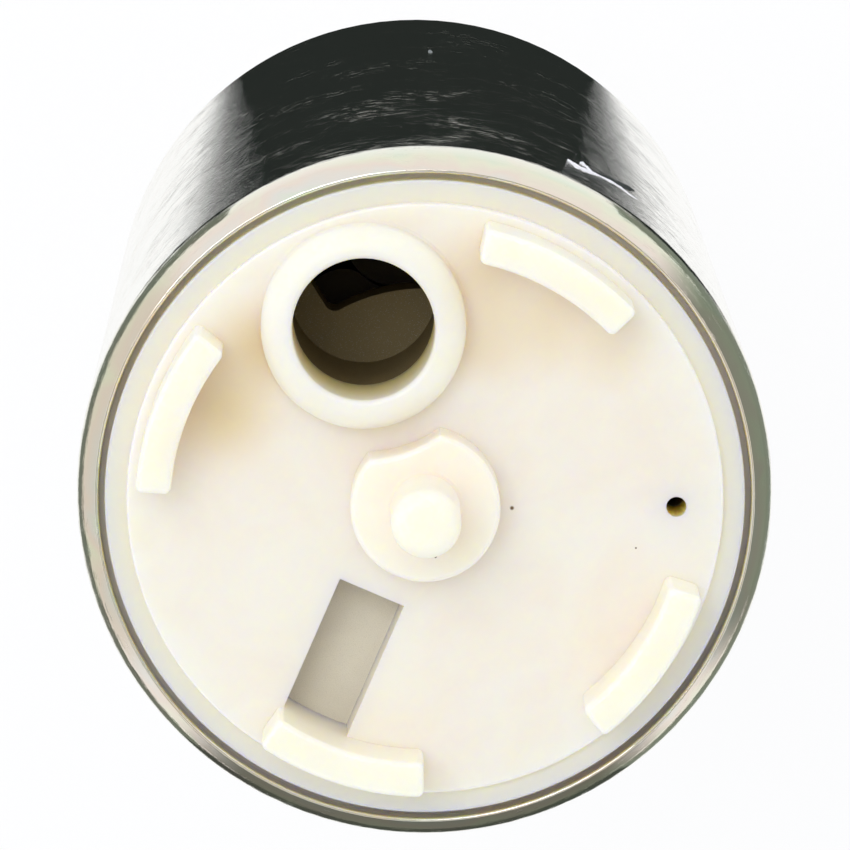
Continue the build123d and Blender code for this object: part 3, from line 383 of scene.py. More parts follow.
@dataclass(frozen=True)
class CoverMoulding(Moulding):
    """Natural acetal of the inlet cover, with painted shade on its ledge, in its groove and in soft patches
    beside its raised parts, and warm painted shade inside its bores.
    """

    face_r: float = 16.2
    face_blur: float = 0.15
    face_z: float = 38.3
    ledge_r: float = 17.4
    ledge_blur: tuple[float, float] = (0.16, 0.02)
    groove_top: float = 37.9
    groove_depth: float = 0.5
    bore_room: float = 0.05
    shade_rise: tuple[float, float] = (1.7, 0.3)
    fleck_blur: tuple[float, float] = (1.4, 0.6)
    # Painted shade of the ledge outside and below the face.
    ledge_shade: str = "#F9EDD2"
    stain_and_shade: str = "#F8EBC6"
    # Painted shade of the groove between the lip and the ledge.
    fleck: str = "#6E5433"
    # Warm painted shade of the bore walls.
    warm_bore_shade: str = "#FFEAA4"
    # Colour of the soft patches of painted shade.
    corner: str = "#E6D4A8"
    specks: tuple[Speck, ...] = ()
    stains_and_shades: tuple[Speck, ...] = ()
    bores: tuple[Bore, ...] = ()

    def away(
        self, tree: bpy.types.NodeTree, flat: bpy.types.Node, spot: Speck | Bore
    ) -> bpy.types.NodeSocket:
        """Distance of the point from the upright line through a fleck, a stain or a bore."""
        ends = {0: flat, 1: (spot.x, spot.y, 0.0)}
        return add_node(tree, "VectorMath", ends, operation="DISTANCE").outputs["Value"]

    def layers(
        self, tree: bpy.types.NodeTree, in_mm: bpy.types.Node
    ) -> Iterator[tuple[bpy.types.Node, str]]:
        """What lies over the base tones: painted shade on the ledge, in the groove, on the bore walls and
        in soft patches, and flecks.

        Args:
            tree: The material's node tree.
            in_mm: Node that gives the point in the pump's frame, in millimetres.

        Yields:
            How much of the surface the layer covers, and its colour as sRGB hex.
        """
        flat = add_node(tree, "VectorMath", {0: in_mm, 1: (1.0, 1.0, 0.0)}, operation="MULTIPLY")
        out = add_node(tree, "VectorMath", {0: flat}, operation="LENGTH").outputs["Value"]
        height = add_node(tree, "SeparateXYZ", {"Vector": in_mm}).outputs["Z"]
        # Painted shade: the ledge outside and below the face takes a yellower tone.
        edge = {"Value": out, "From Min": self.face_r, "From Max": self.face_r + self.face_blur}
        outside = add_node(tree, "MapRange", edge)
        lower = add_node(tree, "Math", {0: height, 1: self.face_z}, operation="LESS_THAN")
        yield add_node(tree, "Math", {0: outside, 1: lower}, operation="MULTIPLY"), self.ledge_shade
        # Painted shade: the outer wall down in the groove takes a tan tint.
        within, past = self.ledge_blur
        edge = {"Value": out, "From Min": self.ledge_r - within, "From Max": self.ledge_r + past}
        beyond = add_node(tree, "MapRange", edge)
        floor = self.groove_top - self.groove_depth
        edge = {"Value": height, "From Min": self.groove_top, "From Max": floor}
        below = add_node(tree, "MapRange", edge)
        yield add_node(tree, "Math", {0: beyond, 1: below}, operation="MULTIPLY"), self.stain_and_shade
        # Painted shade: each bore's wall turns warm yellow with depth, for light bounced and shaded deep
        # inside.
        for bore in self.bores:
            limit = {0: self.away(tree, flat, bore), 1: bore.radius + self.bore_room}
            inside = add_node(tree, "Math", limit, operation="LESS_THAN")
            edge = {"Value": height, "From Min": bore.top, "From Max": bore.deep}
            depth = add_node(tree, "MapRange", edge)
            yield add_node(tree, "Math", {0: depth, 1: inside}, operation="MULTIPLY"), self.warm_bore_shade
        # Painted shade: soft patches, strongest low on the face, darken it beside the lugs and the spigot.
        top, foot = (self.face_z + rise for rise in self.shade_rise)
        low = add_node(tree, "MapRange", {"Value": height, "From Min": top, "From Max": foot})
        for spot in self.stains_and_shades:
            away = self.away(tree, flat, spot)
            reach = {"Value": away, "From Min": spot.radius, "From Max": 0.0, "To Max": spot.share}
            soft = add_node(tree, "MapRange", reach, interpolation_type="SMOOTHSTEP")
            yield add_node(tree, "Math", {0: soft, 1: low}, operation="MULTIPLY"), self.corner
        for speck in self.specks:
            far, near = (speck.radius * share for share in self.fleck_blur)
            edge = {"Value": self.away(tree, flat, speck), "From Min": far, "From Max": near}
            yield add_node(tree, "MapRange", edge), self.fleck

    def tint(self, tree: bpy.types.NodeTree, in_mm: bpy.types.Node) -> bpy.types.Node:
        """Base tones, with each layer over them."""
        tone = super().tint(tree, in_mm)
        for share, code in self.layers(tree, in_mm):
            tones = {"Factor": share, "A": tone, "B": linear(code)}
            tone = add_node(tree, "Mix", tones, data_type="RGBA")
        return tone


@dataclass(frozen=True)
class ZincPlate(Finish):
    """Bright zinc with a thin chromate film over drawn steel: its tint runs in bands on the lip."""

    colour: str = "#F2F0E6"
    bands: tuple[str, ...] = ("#C2DEC0", "#DCDDBC", "#E0C9BA", "#D2CECB", "#BED6BC")
    band_share: float = 0.5
    wall_share: float = 0.1
    roll_share: float = 0.3
    roughness: float = 0.045
    film_mm: float = 4.5
    film_drift: float = 1.5
    film_start: float = -0.62
    film_growth: float = 0.55
    shell_r: float = 19.0
    lip_r: float = 17.75
    scratch_mm: float = 0.08
    scratch_run: float = 14.0
    scuff_mm: float = 0.17
    scuff_run: float = 7.0
    scuff_edge: tuple[float, float] = (0.52, 0.72)
    scuff_height: float = 2.0
    rubbed_roughness: float = 0.34
    patch_mm: float = 6.0
    patch_edge: tuple[float, float] = (0.4, 0.65)
    patch_least: float = 0.35
    height_mm: float = 0.009

    def film(self, tree: bpy.types.NodeTree, in_mm: bpy.types.Node) -> bpy.types.Node:
        """Colour of the plate: the film grows thicker over the roll, and drifts along it.

        Args:
            tree: The material's node tree.
            in_mm: Node that gives the point in the pump's frame, in millimetres.

        Returns:
            The node that gives the colour.
        """
        flat = add_node(tree, "VectorMath", {0: in_mm, 1: (1.0, 1.0, 0.0)}, operation="MULTIPLY")
        out = add_node(tree, "VectorMath", {0: flat}, operation="LENGTH").outputs["Value"]
        edge = {"Value": out, "From Min": self.shell_r, "From Max": self.lip_r}
        over = add_node(tree, "MapRange", edge)
        slow = {"Vector": in_mm, "Scale": 1 / self.film_mm, "Detail": 3.0, "Distortion": 0.5}
        drift = {0: add_node(tree, "TexNoise", slow), 1: self.film_drift, 2: self.film_start}
        wide = add_node(tree, "Math", drift, operation="MULTIPLY_ADD")
        phase = add_node(tree, "Math", {0: over, 1: self.film_growth, 2: wide}, operation="MULTIPLY_ADD")
        ramp = add_node(tree, "ValToRGB", {"Fac": phase})
        stops = ramp.color_ramp.elements
        for number, code in enumerate(self.bands):
            place = number / (len(self.bands) - 1)
            stop = stops[number] if number < 2 else stops.new(place)
            stop.position = place
            stop.color = linear(code)
        shares = {"To Min": self.wall_share, "To Max": self.band_share}
        lip = {"Value": over, "From Max": self.roll_share} | shares
        tones = {"Factor": add_node(tree, "MapRange", lip), "A": linear(self.colour), "B": ramp}
        return add_node(tree, "Mix", tones, data_type="RGBA")

    def shader(self, tree: bpy.types.NodeTree, in_mm: bpy.types.Node) -> bpy.types.Node:
        """Scratches run around the tube, drawn coarse enough to show, and short scuffs roughen it."""
        stretch = {0: in_mm, 1: (1.0, 1.0, self.scratch_run)}
        around = add_node(tree, "VectorMath", stretch, operation="MULTIPLY")
        scale = 1 / (self.scratch_mm * self.scratch_run)
        fine = {"Vector": around, "Scale": scale, "Detail": 3.0, "Roughness": 0.6}
        scratches = add_node(tree, "TexNoise", fine)
        stretch = {0: in_mm, 1: (1.0, 1.0, self.scuff_run)}
        around = add_node(tree, "VectorMath", stretch, operation="MULTIPLY")
        scale = 1 / (self.scuff_mm * self.scuff_run)
        short = {"Vector": around, "Scale": scale, "Detail": 2.0, "Distortion": 0.2}
        scuffs = add_node(tree, "TexNoise", short)
        low, high = self.scuff_edge
        scuffed = add_node(tree, "MapRange", {"Value": scuffs, "From Min": low, "From Max": high})
        broad = {"Vector": in_mm, "Scale": 1 / self.patch_mm, "Detail": 2.0}
        patches = add_node(tree, "TexNoise", broad)
        low, high = self.patch_edge
        edge = {"Value": patches, "From Min": low, "From Max": high, "To Min": self.patch_least}
        worn = add_node(tree, "MapRange", edge)
        amount = add_node(tree, "Math", {0: scuffed, 1: worn}, operation="MULTIPLY")
        rubbed = {0: amount, 1: self.rubbed_roughness - self.roughness, 2: self.roughness}
        together = {0: amount, 1: self.scuff_height, 2: scratches}
        height = add_node(tree, "Math", together, operation="MULTIPLY_ADD")
        relief = {"Strength": 0.38, "Distance": self.height_mm * MM, "Height": height}
        sockets = {
            "Base Color": self.film(tree, in_mm),
            "Metallic": 1.0,
            "Roughness": add_node(tree, "Math", rubbed, operation="MULTIPLY_ADD"),
            "Normal": add_node(tree, "Bump", relief),
        }
        return add_node(tree, "BsdfPrincipled", sockets)


@dataclass(frozen=True)
class Enamel(Finish):
    """Varnished copper wire: brown-red metal under a clear coat that pools here and there."""

    colour: str
    shade: str
    pool_mm: float

    def shader(self, tree: bpy.types.NodeTree, in_mm: bpy.types.Node) -> bpy.types.Node:
        """The coat is even, and the colour under it darkens where the varnish pools."""
        pools = add_node(tree, "TexNoise", {"Vector": in_mm, "Scale": 1 / self.pool_mm, "Detail": 2.0})
        amount = add_node(tree, "MapRange", {"Value": pools, "From Min": 0.4, "From Max": 0.65})
        tones = {"Factor": amount, "A": linear(self.colour), "B": linear(self.shade)}
        sockets = {
            "Base Color": add_node(tree, "Mix", tones, data_type="RGBA"),
            "Metallic": 0.85,
            "Roughness": 0.28,
            "Coat Weight": 0.6,
            "Coat Roughness": 0.12,
        }
        return add_node(tree, "BsdfPrincipled", sockets)


@dataclass(frozen=True)
class Braid(Finish):
    """Fine copper strands, plaited: two sets of ridges that cross at a steep angle."""

    colour: str
    shade: str
    strand_mm: float
    slope: float = 0.6
    height_mm: float = 0.06

    def shader(self, tree: bpy.types.NodeTree, in_mm: bpy.types.Node) -> bpy.types.Node:
        """Waves along two diagonals set the height, and their hollows are darker."""
        sets = []
        for lean in (1.0, -1.0):
            stretch = {0: in_mm, 1: (lean, lean, self.slope)}
            leaned = add_node(tree, "VectorMath", stretch, operation="MULTIPLY")
            waves = {"Vector": leaned, "Scale": 0.5 / self.strand_mm}
            sets.append(add_node(tree, "TexWave", waves, bands_direction="DIAGONAL"))
        height = add_node(tree, "Math", {0: sets[0], 1: sets[1]}, operation="MAXIMUM")
        tones = {"Factor": height, "A": linear(self.shade), "B": linear(self.colour)}
        relief = {"Strength": 0.6, "Distance": self.height_mm * MM, "Height": height}
        sockets = {
            "Base Color": add_node(tree, "Mix", tones, data_type="RGBA"),
            "Metallic": 1.0,
            "Roughness": 0.35,
            "Normal": add_node(tree, "Bump", relief),
        }
        return add_node(tree, "BsdfPrincipled", sockets)


# Acetal, moulded, natural: milky cream, and light spreads a little way into it
ACETAL = Moulding("acetal_moulded", "#F8EEDE", "#F4E9D7", 0.36, 3.5, 0.9)
# Coupling and valve plastic, moulded, dark: polyphenylene sulphide, nearly black brown
COUPLING_PLASTIC = Moulding("sulphide_plastic_moulded", "#3A342C", "#2F2A24", 0.45, 0.3, 0.05)
# Phenolic of the commutator, moulded: dark red brown
PHENOLIC = Moulding("phenolic_moulded", "#4A2A1C", "#3B2116", 0.4, 0.2, 0.05)
# Nitrile rubber of the seals, moulded: dull black
SEAL_RUBBER = Moulding("nitrile_rubber_moulded", "#1B1B1C", "#232324", 0.7, 0.1, 0.0, 0.2)
# Iron powder, sintered and steam treated: matt grey with fine pores
SINTERED = PressedPowder("iron_sintered", "#BDB9AC", "#B3AFA2", "#8F8A7E", 0.3, 0.6, 0.09)
# Ferrite of the magnets, sintered: black grey, dull
FERRITE = PressedPowder("ferrite_sintered", "#3B3C3E", "#343436", "#1E1E20", 0.2, 0.55, 0.15)
# Carbon of the brushes, pressed with graphite: black with a faint shine
CARBON = PressedPowder("carbon_graphite_pressed", "#2A2A2C", "#242426", "#121213", 0.3, 0.42, 0.08)
# Steel of the gears, sintered and steam treated: nearly black, fine even marks
GEAR_STEEL = WorkedMetal("gear_steel_steamed", "#2A2622", "#221F1B", 0.5, Lay.EVEN, 0.08)
# Shaft steel, hardened and ground: bright, marks run around
SHAFT_STEEL = WorkedMetal("shaft_steel_ground", "#C9CACB", "#B9BABB", 0.16, Lay.AROUND, 0.05)
# Spring steel, drawn and oil tempered: blue grey
SPRING_STEEL = WorkedMetal("spring_steel_drawn", "#8F9298", "#777A82", 0.28, Lay.ALONG, 0.06)
# Mild steel of the flux ring, rolled: plain grey
FLUX_STEEL = WorkedMetal("mild_steel_rolled", "#A3A4A3", "#8A8880", 0.36, Lay.AROUND, 0.1)
# Silicon steel of the laminations, stamped: sheet edges show as fine rings
LAMINATIONS = WorkedMetal("silicon_steel_laminated", "#8E8F92", "#6E6C68", 0.34, Lay.AROUND, 0.25, 0.8)
# Bronze of the bearings, sintered and sized: warm yellow brown
BRONZE = WorkedMetal("bronze_sintered", "#B58A4A", "#94692F", 0.35, Lay.AROUND, 0.08)
# Copper of the commutator, turned: bright, with fine rings
COPPER = WorkedMetal("copper_turned", "#C27A55", "#A8603F", 0.25, Lay.AROUND, 0.06)
# Brass of the terminals, the retainer and the plug, rolled: warm yellow
BRASS = WorkedMetal("brass_strip_rolled", "#C9B06A", "#B0954F", 0.24, Lay.ALONG, 0.07)
# Magnet wire, varnished
MAGNET_WIRE = Enamel("magnet_wire_varnished", "#A5502A", "#7A3319", 1.6)
# Copper braid of the brush leads, plaited from fine strands
COPPER_BRAID = Braid("copper_braid_plaited", "#C98560", "#8A4E31", 0.15)
# Shell steel, drawn and zinc plated
ZINC = ZincPlate("zinc_plate_chromated")
# The same plate where it is torn, bright and matt, and where it is nicked, dull; a dark matt ribbon beside
# the tear is painted reflection of a dent bending the shine
TORN_ZINC = PressedPowder("zinc_plate_torn", "#FBF9F7", "#F4F0ED", "#DDD8D2", 0.0, 0.9, 0.05, shine=0.0)
NICKED_ZINC = PressedPowder("zinc_plate_nicked", "#8E928E", "#7F837F", "#6F726F", 0.0, 0.9, 0.05, shine=0.0)
DENT_REFLECTION = PressedPowder("zinc_plate_dent_reflection", "#3E413E", "#4C4F4B", "#30332F", 0.0, 0.9, 0.08, shine=0.0)


def dress(finish: Finish, names: Iterable[str]) -> None:
    """Give CAD nodes a finish.

    Args:
        finish: The finish to give.
        names: Names of the CAD nodes.
    """
    material = finish.material()
    for name in names:
        for slot in frame["nodes"][name].material_slots:
            slot.material = material
        LOG.info("%s is dressed in %s", name, finish.name)


def put_in_scene(name: str, mesh: bmesh.types.BMesh) -> bpy.types.Object:
    """Turn a bmesh into an object at the origin of the pump's frame.

    Args:
        name: Name of the new piece.
        mesh: Its finished bmesh, which is freed.

    Returns:
        The new object.
    """
    data = bpy.data.meshes.new(name)
    mesh.to_mesh(data)
    mesh.free()
    made = bpy.data.objects.new(name, data)
    bpy.context.scene.collection.objects.link(made)
    return made


@dataclass(frozen=True)
class Mark:
    """A long mark on the shell: its path, how wide it starts and ends, and how ragged it is.

    The path's points are an azimuth in degrees from +Y towards +X and a height in millimetres.
    The edge away from the lip is a burr, whose height at both ends is given too.
    """

    name: str
    path: tuple[tuple[float, float], ...]
    widths: tuple[float, float]
    ragged: float
    burrs: tuple[float, float]
    finish: Finish


@dataclass
class Housing:
    """The rolled steel shell, with the torn scratch near its inlet end."""

    shell: str = "housing_shell"
    seed: int = 4
    steps: int = 5
    sheet: float = 0.015
    tip_share: float = 0.125
    start_width: float = 0.3
    stop_width: float = 0.15
    end_taper: float = 4.0
    waver: float = 0.2

    def marks(self) -> tuple[Mark, ...]:
        """The torn scratch with its flake, a dark ribbon of painted reflection where a dent beside it bends
        the shine, and a nick near the far end.
        """
        scratch = ((24.7, 27.5), (26.3, 28.6), (27.9, 28.3), (29.6, 27.5), (31.2, 26.7))
        tail = ((31.2, 26.7), (33.3, 26.0), (35.4, 25.5), (37.2, 25.9), (39.0, 25.0))
        flake = ((27.2, 25.7), (27.9, 25.3), (28.8, 26.3), (29.6, 27.3))
        # Painted reflection: a dark ribbon where a dent beside the scratch bends the shell's shine.
        dent_reflection = ((30.6, 25.6), (33.2, 24.4), (36.0, 23.3), (38.8, 21.0))
        nick = ((1.9, -15.2), (2.3, -15.4), (2.7, -15.1))
        return (
            Mark("shell_scratch", scratch, (1.5, 0.7), 0.45, (0.09, 0.05), TORN_ZINC),
            Mark("shell_scratch_tail", tail, (0.9, 0.4), 0.3, (0.05, 0.03), TORN_ZINC),
            Mark("shell_flake", flake, (1.3, 1.2), 0.6, (0.07, 0.03), TORN_ZINC),
            Mark("shell_dent_reflection", dent_reflection, (1.3, 2.2), 0.35, (0.02, 0.02), DENT_REFLECTION),
            Mark("shell_nick", nick, (2.0, 1.6), 0.2, (0.02, 0.02), NICKED_ZINC),
        )

    def on_wall(self, azimuth: float, z: float, lift: float) -> Vector:
        """Point on the shell's outer wall.

        Args:
            azimuth: Degrees from +Y towards +X.
            z: Height in millimetres.
            lift: Distance off the wall in millimetres.

        Returns:
            The point in metres.
        """
        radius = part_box(self.shell)[1].x + lift * MM
        turn = math.radians(azimuth)
        return Vector((radius * math.sin(turn), radius * math.cos(turn), z * MM))

    def lay_mark(self, mark: Mark) -> bpy.types.Object:
        """A thin ragged ribbon that follows a mark's path over the wall, with its far edge raised.

        Args:
            mark: The mark to lay.

        Returns:
            The new piece.
        """
        chance = Random(self.seed)
        mesh = bmesh.new()
        azimuth, z = mark.path[0]
        tip = mark.widths[0] * self.tip_share
        low = mesh.verts.new(self.on_wall(azimuth, z - tip, mark.burrs[0]))
        high = mesh.verts.new(self.on_wall(azimuth, z + tip, self.sheet))
        edge = mesh.edges.new((low, high))
        total = self.steps * (len(mark.path) - 1)
        for number in range(1, total + 1):
            part, share = number // self.steps, number % self.steps / self.steps
            azimuth, z = mark.path[part]
            if share:
                beyond = mark.path[part + 1]
                azimuth += share * (beyond[0] - azimuth)
                z += share * (beyond[1] - z)
            along = number / total
            width, burr = (first + along * (last - first) for first, last in (mark.widths, mark.burrs))
            opening = self.start_width + self.end_taper * along
            closing = self.stop_width + self.end_taper * (1 - along)
            width *= min(1, opening, closing) * (1 + mark.ragged * chance.uniform(-1, 1))
            z += mark.ragged * chance.uniform(-self.waver, self.waver)
            grown = bmesh.ops.extrude_edge_only(mesh, edges=[edge])["geom"]
            edge = next(item for item in grown if isinstance(item, bmesh.types.BMEdge))
            lower, upper = sorted(edge.verts, key=lambda vert: vert.co.z)
            lower.co = self.on_wall(azimuth, z - width / 2, burr)
            upper.co = self.on_wall(azimuth, z + width / 2, self.sheet)
        bmesh.ops.recalc_face_normals(mesh, faces=mesh.faces)
        bmesh.ops.solidify(mesh, geom=mesh.faces[:], thickness=self.sheet * MM)
        laid = put_in_scene(mark.name, mesh)
        laid.data.materials.append(mark.finish.material())
        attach(laid, "pump")
        return laid

    def dress(self) -> None:
        """Plate the shell and lay its marks."""
        dress(ZINC, [self.shell])
        for mark in self.marks():
            LOG.info("made %s", self.lay_mark(mark).name)


@dataclass
class InletEnd:
    """The moulded cover and the sintered inlet body below it."""

    cover: str = "inlet_cover"
    body: str = "inlet_body"
    spigot: Bore = Bore(-3.338, 9.638, 3.85, 40.3, 36.0)
    vent: Bore = Bore(13.645, -0.381, 0.55, 38.45, 37.7)
    specks: tuple[Speck, ...] = (
        Speck(4.72, -0.44, 0.1),
        Speck(11.46, -2.64, 0.05),
        Speck(0.55, -2.64, 0.06),
    )
    # Soft patches of painted shade beside the lugs and the spigot: place, reach and strength.
    stains_and_shades: tuple[Speck, ...] = (
        Speck(-11.1, 5.0, 4.2),
        Speck(-9.0, 8.4, 3.6),
        Speck(2.9, 12.2, 3.6, 0.6),
        Speck(6.6, 9.8, 4.4, 0.5),
        Speck(10.2, 8.2, 3.0, 0.4),
        Speck(3.0, 8.8, 3.4, 0.5),
    )

    def dress(self) -> None:
        """Give the cover its acetal with its flecks and its painted shade, and the body its sintered iron
        with painted shade below its face.
        """
        flaws = {"specks": self.specks, "stains_and_shades": self.stains_and_shades, "bores": (self.spigot, self.vent)}
        cover = CoverMoulding("acetal_cover_moulded", "#F8EEDE", "#F4E9D7", 0.36, 3.5, 0.9, **flaws)
        dress(cover, [self.cover])
        # The body's bores darken below its ground face with painted shade.
        body = BoredPowder("iron_body_sintered", "#DDD9CA", "#D4D0C1", "#C9C4B6", 0.2, 0.6, 0.05)
        dress(body, [self.body])
        dress(SEAL_RUBBER, ["body_seal"])
        dress(SHAFT_STEEL, ["stub_shaft", "locating_pins"])


@dataclass
class GearSection:
    """Gears, their ring, the port plate and the coupling."""

    def dress(self) -> None:
        """Finish the pumping section's pieces."""
        dress(GEAR_STEEL, ["inner_gear", "outer_gear"])
        dress(SINTERED, ["gear_ring", "outlet_port_plate"])
        dress(SPRING_STEEL, ["plate_spring"])
        dress(COUPLING_PLASTIC, ["drive_coupling"])


@dataclass
class Windings:
    """The armature's coils. Each lies in two slots and crosses both ends of the core.

    Lengths are in millimetres. The wire is drawn thicker than the real one, with fewer turns.
    """

    node: str = "armature_windings"
    core: str = "armature_core"
    seed: int = 8
    slots: int = 8
    span: int = 3
    wire: float = 0.6
    row_start: float = 6.9
    row_half: float = 1.1
    row_growth: float = 0.41
    inner_r: float = 4.4
    outer_r: float = 9.4
    arc_steps: int = 8
    level_room: float = 2.2
    first_level: float = 0.8
    waver: float = 0.08
    face_gap: float = 0.1

    def seats(self) -> list[tuple[float, float]]:
        """Places of one coil's wires in half a slot: distance along the slot and from its middle."""
        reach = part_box(self.node)[1].x / MM - self.wire
        found = []
        along = self.row_start
        while along < reach:
            half = self.row_half + self.row_growth * (along - self.row_start)
            aside = self.wire / 2
            while aside + self.wire < half:
                found.append((along, aside))
                aside += self.wire
            along += self.wire
        return found

    def crossing(self, coil: int, seat: int, end: int, chance: Random) -> list[Vector]:
        """Points of one wire over one end of the core, from the coil's first slot to its second.

        Args:
            coil: Number of the coil, which sets the slots and the height.
            seat: Number of the wire in the coil.
            end: 1 for the inlet end and -1 for the outlet end.
            chance: Source of the small unevenness of hand-laid wire.

        Returns:
            The points in metres.
        """
        places = self.seats()
        along, aside = places[seat]
        radius = math.hypot(along, aside)
        pitch = 2 * math.pi / self.slots
        inset = math.atan2(aside, along)
        first = coil * pitch + inset
        last = (coil + self.span) * pitch - inset
        share = (seat // 2 * 2 + 0.5) / len(places)
        middle_r = self.inner_r + share * (self.outer_r - self.inner_r)
        level = self.wire * (self.first_level + seat % 2) + self.level_room * coil / self.slots
        rise = level + chance.uniform(-self.waver, self.waver)
        low, high = (corner.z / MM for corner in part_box(self.core))
        face = high if end > 0 else low
        points = []
        for step in range(self.arc_steps + 1):
            swing = 2 * step / self.arc_steps - 1
            turn = (first + last) / 2 + swing * (last - first) / 2
            out = middle_r + (radius - middle_r) * swing * swing
            lift = rise * (1 - swing**4) + self.face_gap
            points.append(Vector((out * math.cos(turn), out * math.sin(turn), face + end * lift)) * MM)
        return points

    def wind(self) -> bpy.types.Object:
        """Lay every turn as a closed loop of round wire, in place of the plain solid."""
        chance = Random(self.seed)
        route = bpy.data.curves.new("coil_route", "CURVE")
        route.dimensions = "3D"
        route.bevel_depth = self.wire / 2 * MM
        route.bevel_resolution = 2
        for coil in range(self.slots):
            for seat in range(len(self.seats())):
                over = self.crossing(coil, seat, 1, chance)
                under = self.crossing(coil, seat, -1, chance)
                loop = route.splines.new("POLY")
                points = over + under[::-1]
                loop.points.add(len(points) - 1)
                for point, place in zip(loop.points, points):
                    point.co = (*place, 1.0)
                loop.use_cyclic_u = True
        shape = bpy.data.objects.new("coil_route", route)
        data = bpy.data.meshes.new_from_object(shape)
        bpy.data.objects.remove(shape)
        data.name = "winding_wires"
        data.polygons.foreach_set("use_smooth", [True] * len(data.polygons))
        wires = bpy.data.objects.new("winding_wires", data)
        bpy.context.scene.collection.objects.link(wires)
        wires.data.materials.clear()
        wires.data.materials.append(MAGNET_WIRE.material())
        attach(wires, "armature")
        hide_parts(self.node)
        return wires


@dataclass
class Motor:
    """Armature, commutator, magnets and flux ring."""

    def dress(self) -> None:
        """Finish the motor's pieces and wind its armature."""
        dress(BRONZE, ["armature_bush"])
        dress(SHAFT_STEEL, ["armature_shaft"])
        dress(LAMINATIONS, ["armature_core"])
        dress(MAGNET_WIRE, ["armature_windings"])
        LOG.info("wound %s", Windings().wind().name)
        dress(PHENOLIC, ["commutator_base"])
        dress(COPPER, ["commutator_segments"])
        dress(FLUX_STEEL, ["flux_ring"])
        dress(FERRITE, ["magnet_a", "magnet_b"])
        dress(SPRING_STEEL, ["magnet_clip_a", "magnet_clip_b"])


@dataclass
class OutletEnd:
    """Outlet cap, bearing, brush gear and terminals, and the two valves."""

    def dress(self) -> None:
        """Finish the outlet end's pieces."""
        dress(ACETAL, ["outlet_cap"])
        dress(SEAL_RUBBER, ["cap_seal"])
        dress(BRONZE, ["end_bearing"])
        dress(COUPLING_PLASTIC, ["thrust_washer", "check_poppet"])
        dress(CARBON, ["brush_a", "brush_b"])
        dress(SPRING_STEEL, ["brush_spring_a", "brush_spring_b", "check_spring", "relief_spring"])
        dress(COPPER_BRAID, ["brush_lead_a", "brush_lead_b"])
        dress(BRASS, ["terminal_a", "terminal_b", "check_retainer", "relief_plug"])
        dress(SHAFT_STEEL, ["relief_ball"])
        for joint in frame["record"]["behaviour"]["joints"]:
            for pressed in joint.get("deforming_nodes", []):
                LOG.info("made %s", self.give_way(pressed["node"], joint, pressed["fixed_end_z_m"]).name)

    def give_way(self, node: str, joint: dict, fixed_z: float) -> bpy.types.Object:
        """Put a smooth copy of a spring or lead that a sliding piece presses in place of its CAD node.

        Args:
            node: The CAD node.
            joint: The record's row for the joint that presses it.
            fixed_z: Height of its fixed end.

        Returns:
            The new piece.
        """
        solid = frame["nodes"][node]
        mesh = bmesh.new()
        mesh.from_mesh(solid.data)
        bmesh.ops.remove_doubles(mesh, verts=mesh.verts, dist=0.001 * MM)
        for face in mesh.faces:
            face.smooth = True
        piece = put_in_scene(node + "_pressed", mesh)
        piece.data.materials.append(solid.material_slots[0].material)
        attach(piece, joint["parent"])
        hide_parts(node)
        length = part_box(node)[1].z - fixed_z
        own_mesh(piece)
        return piece


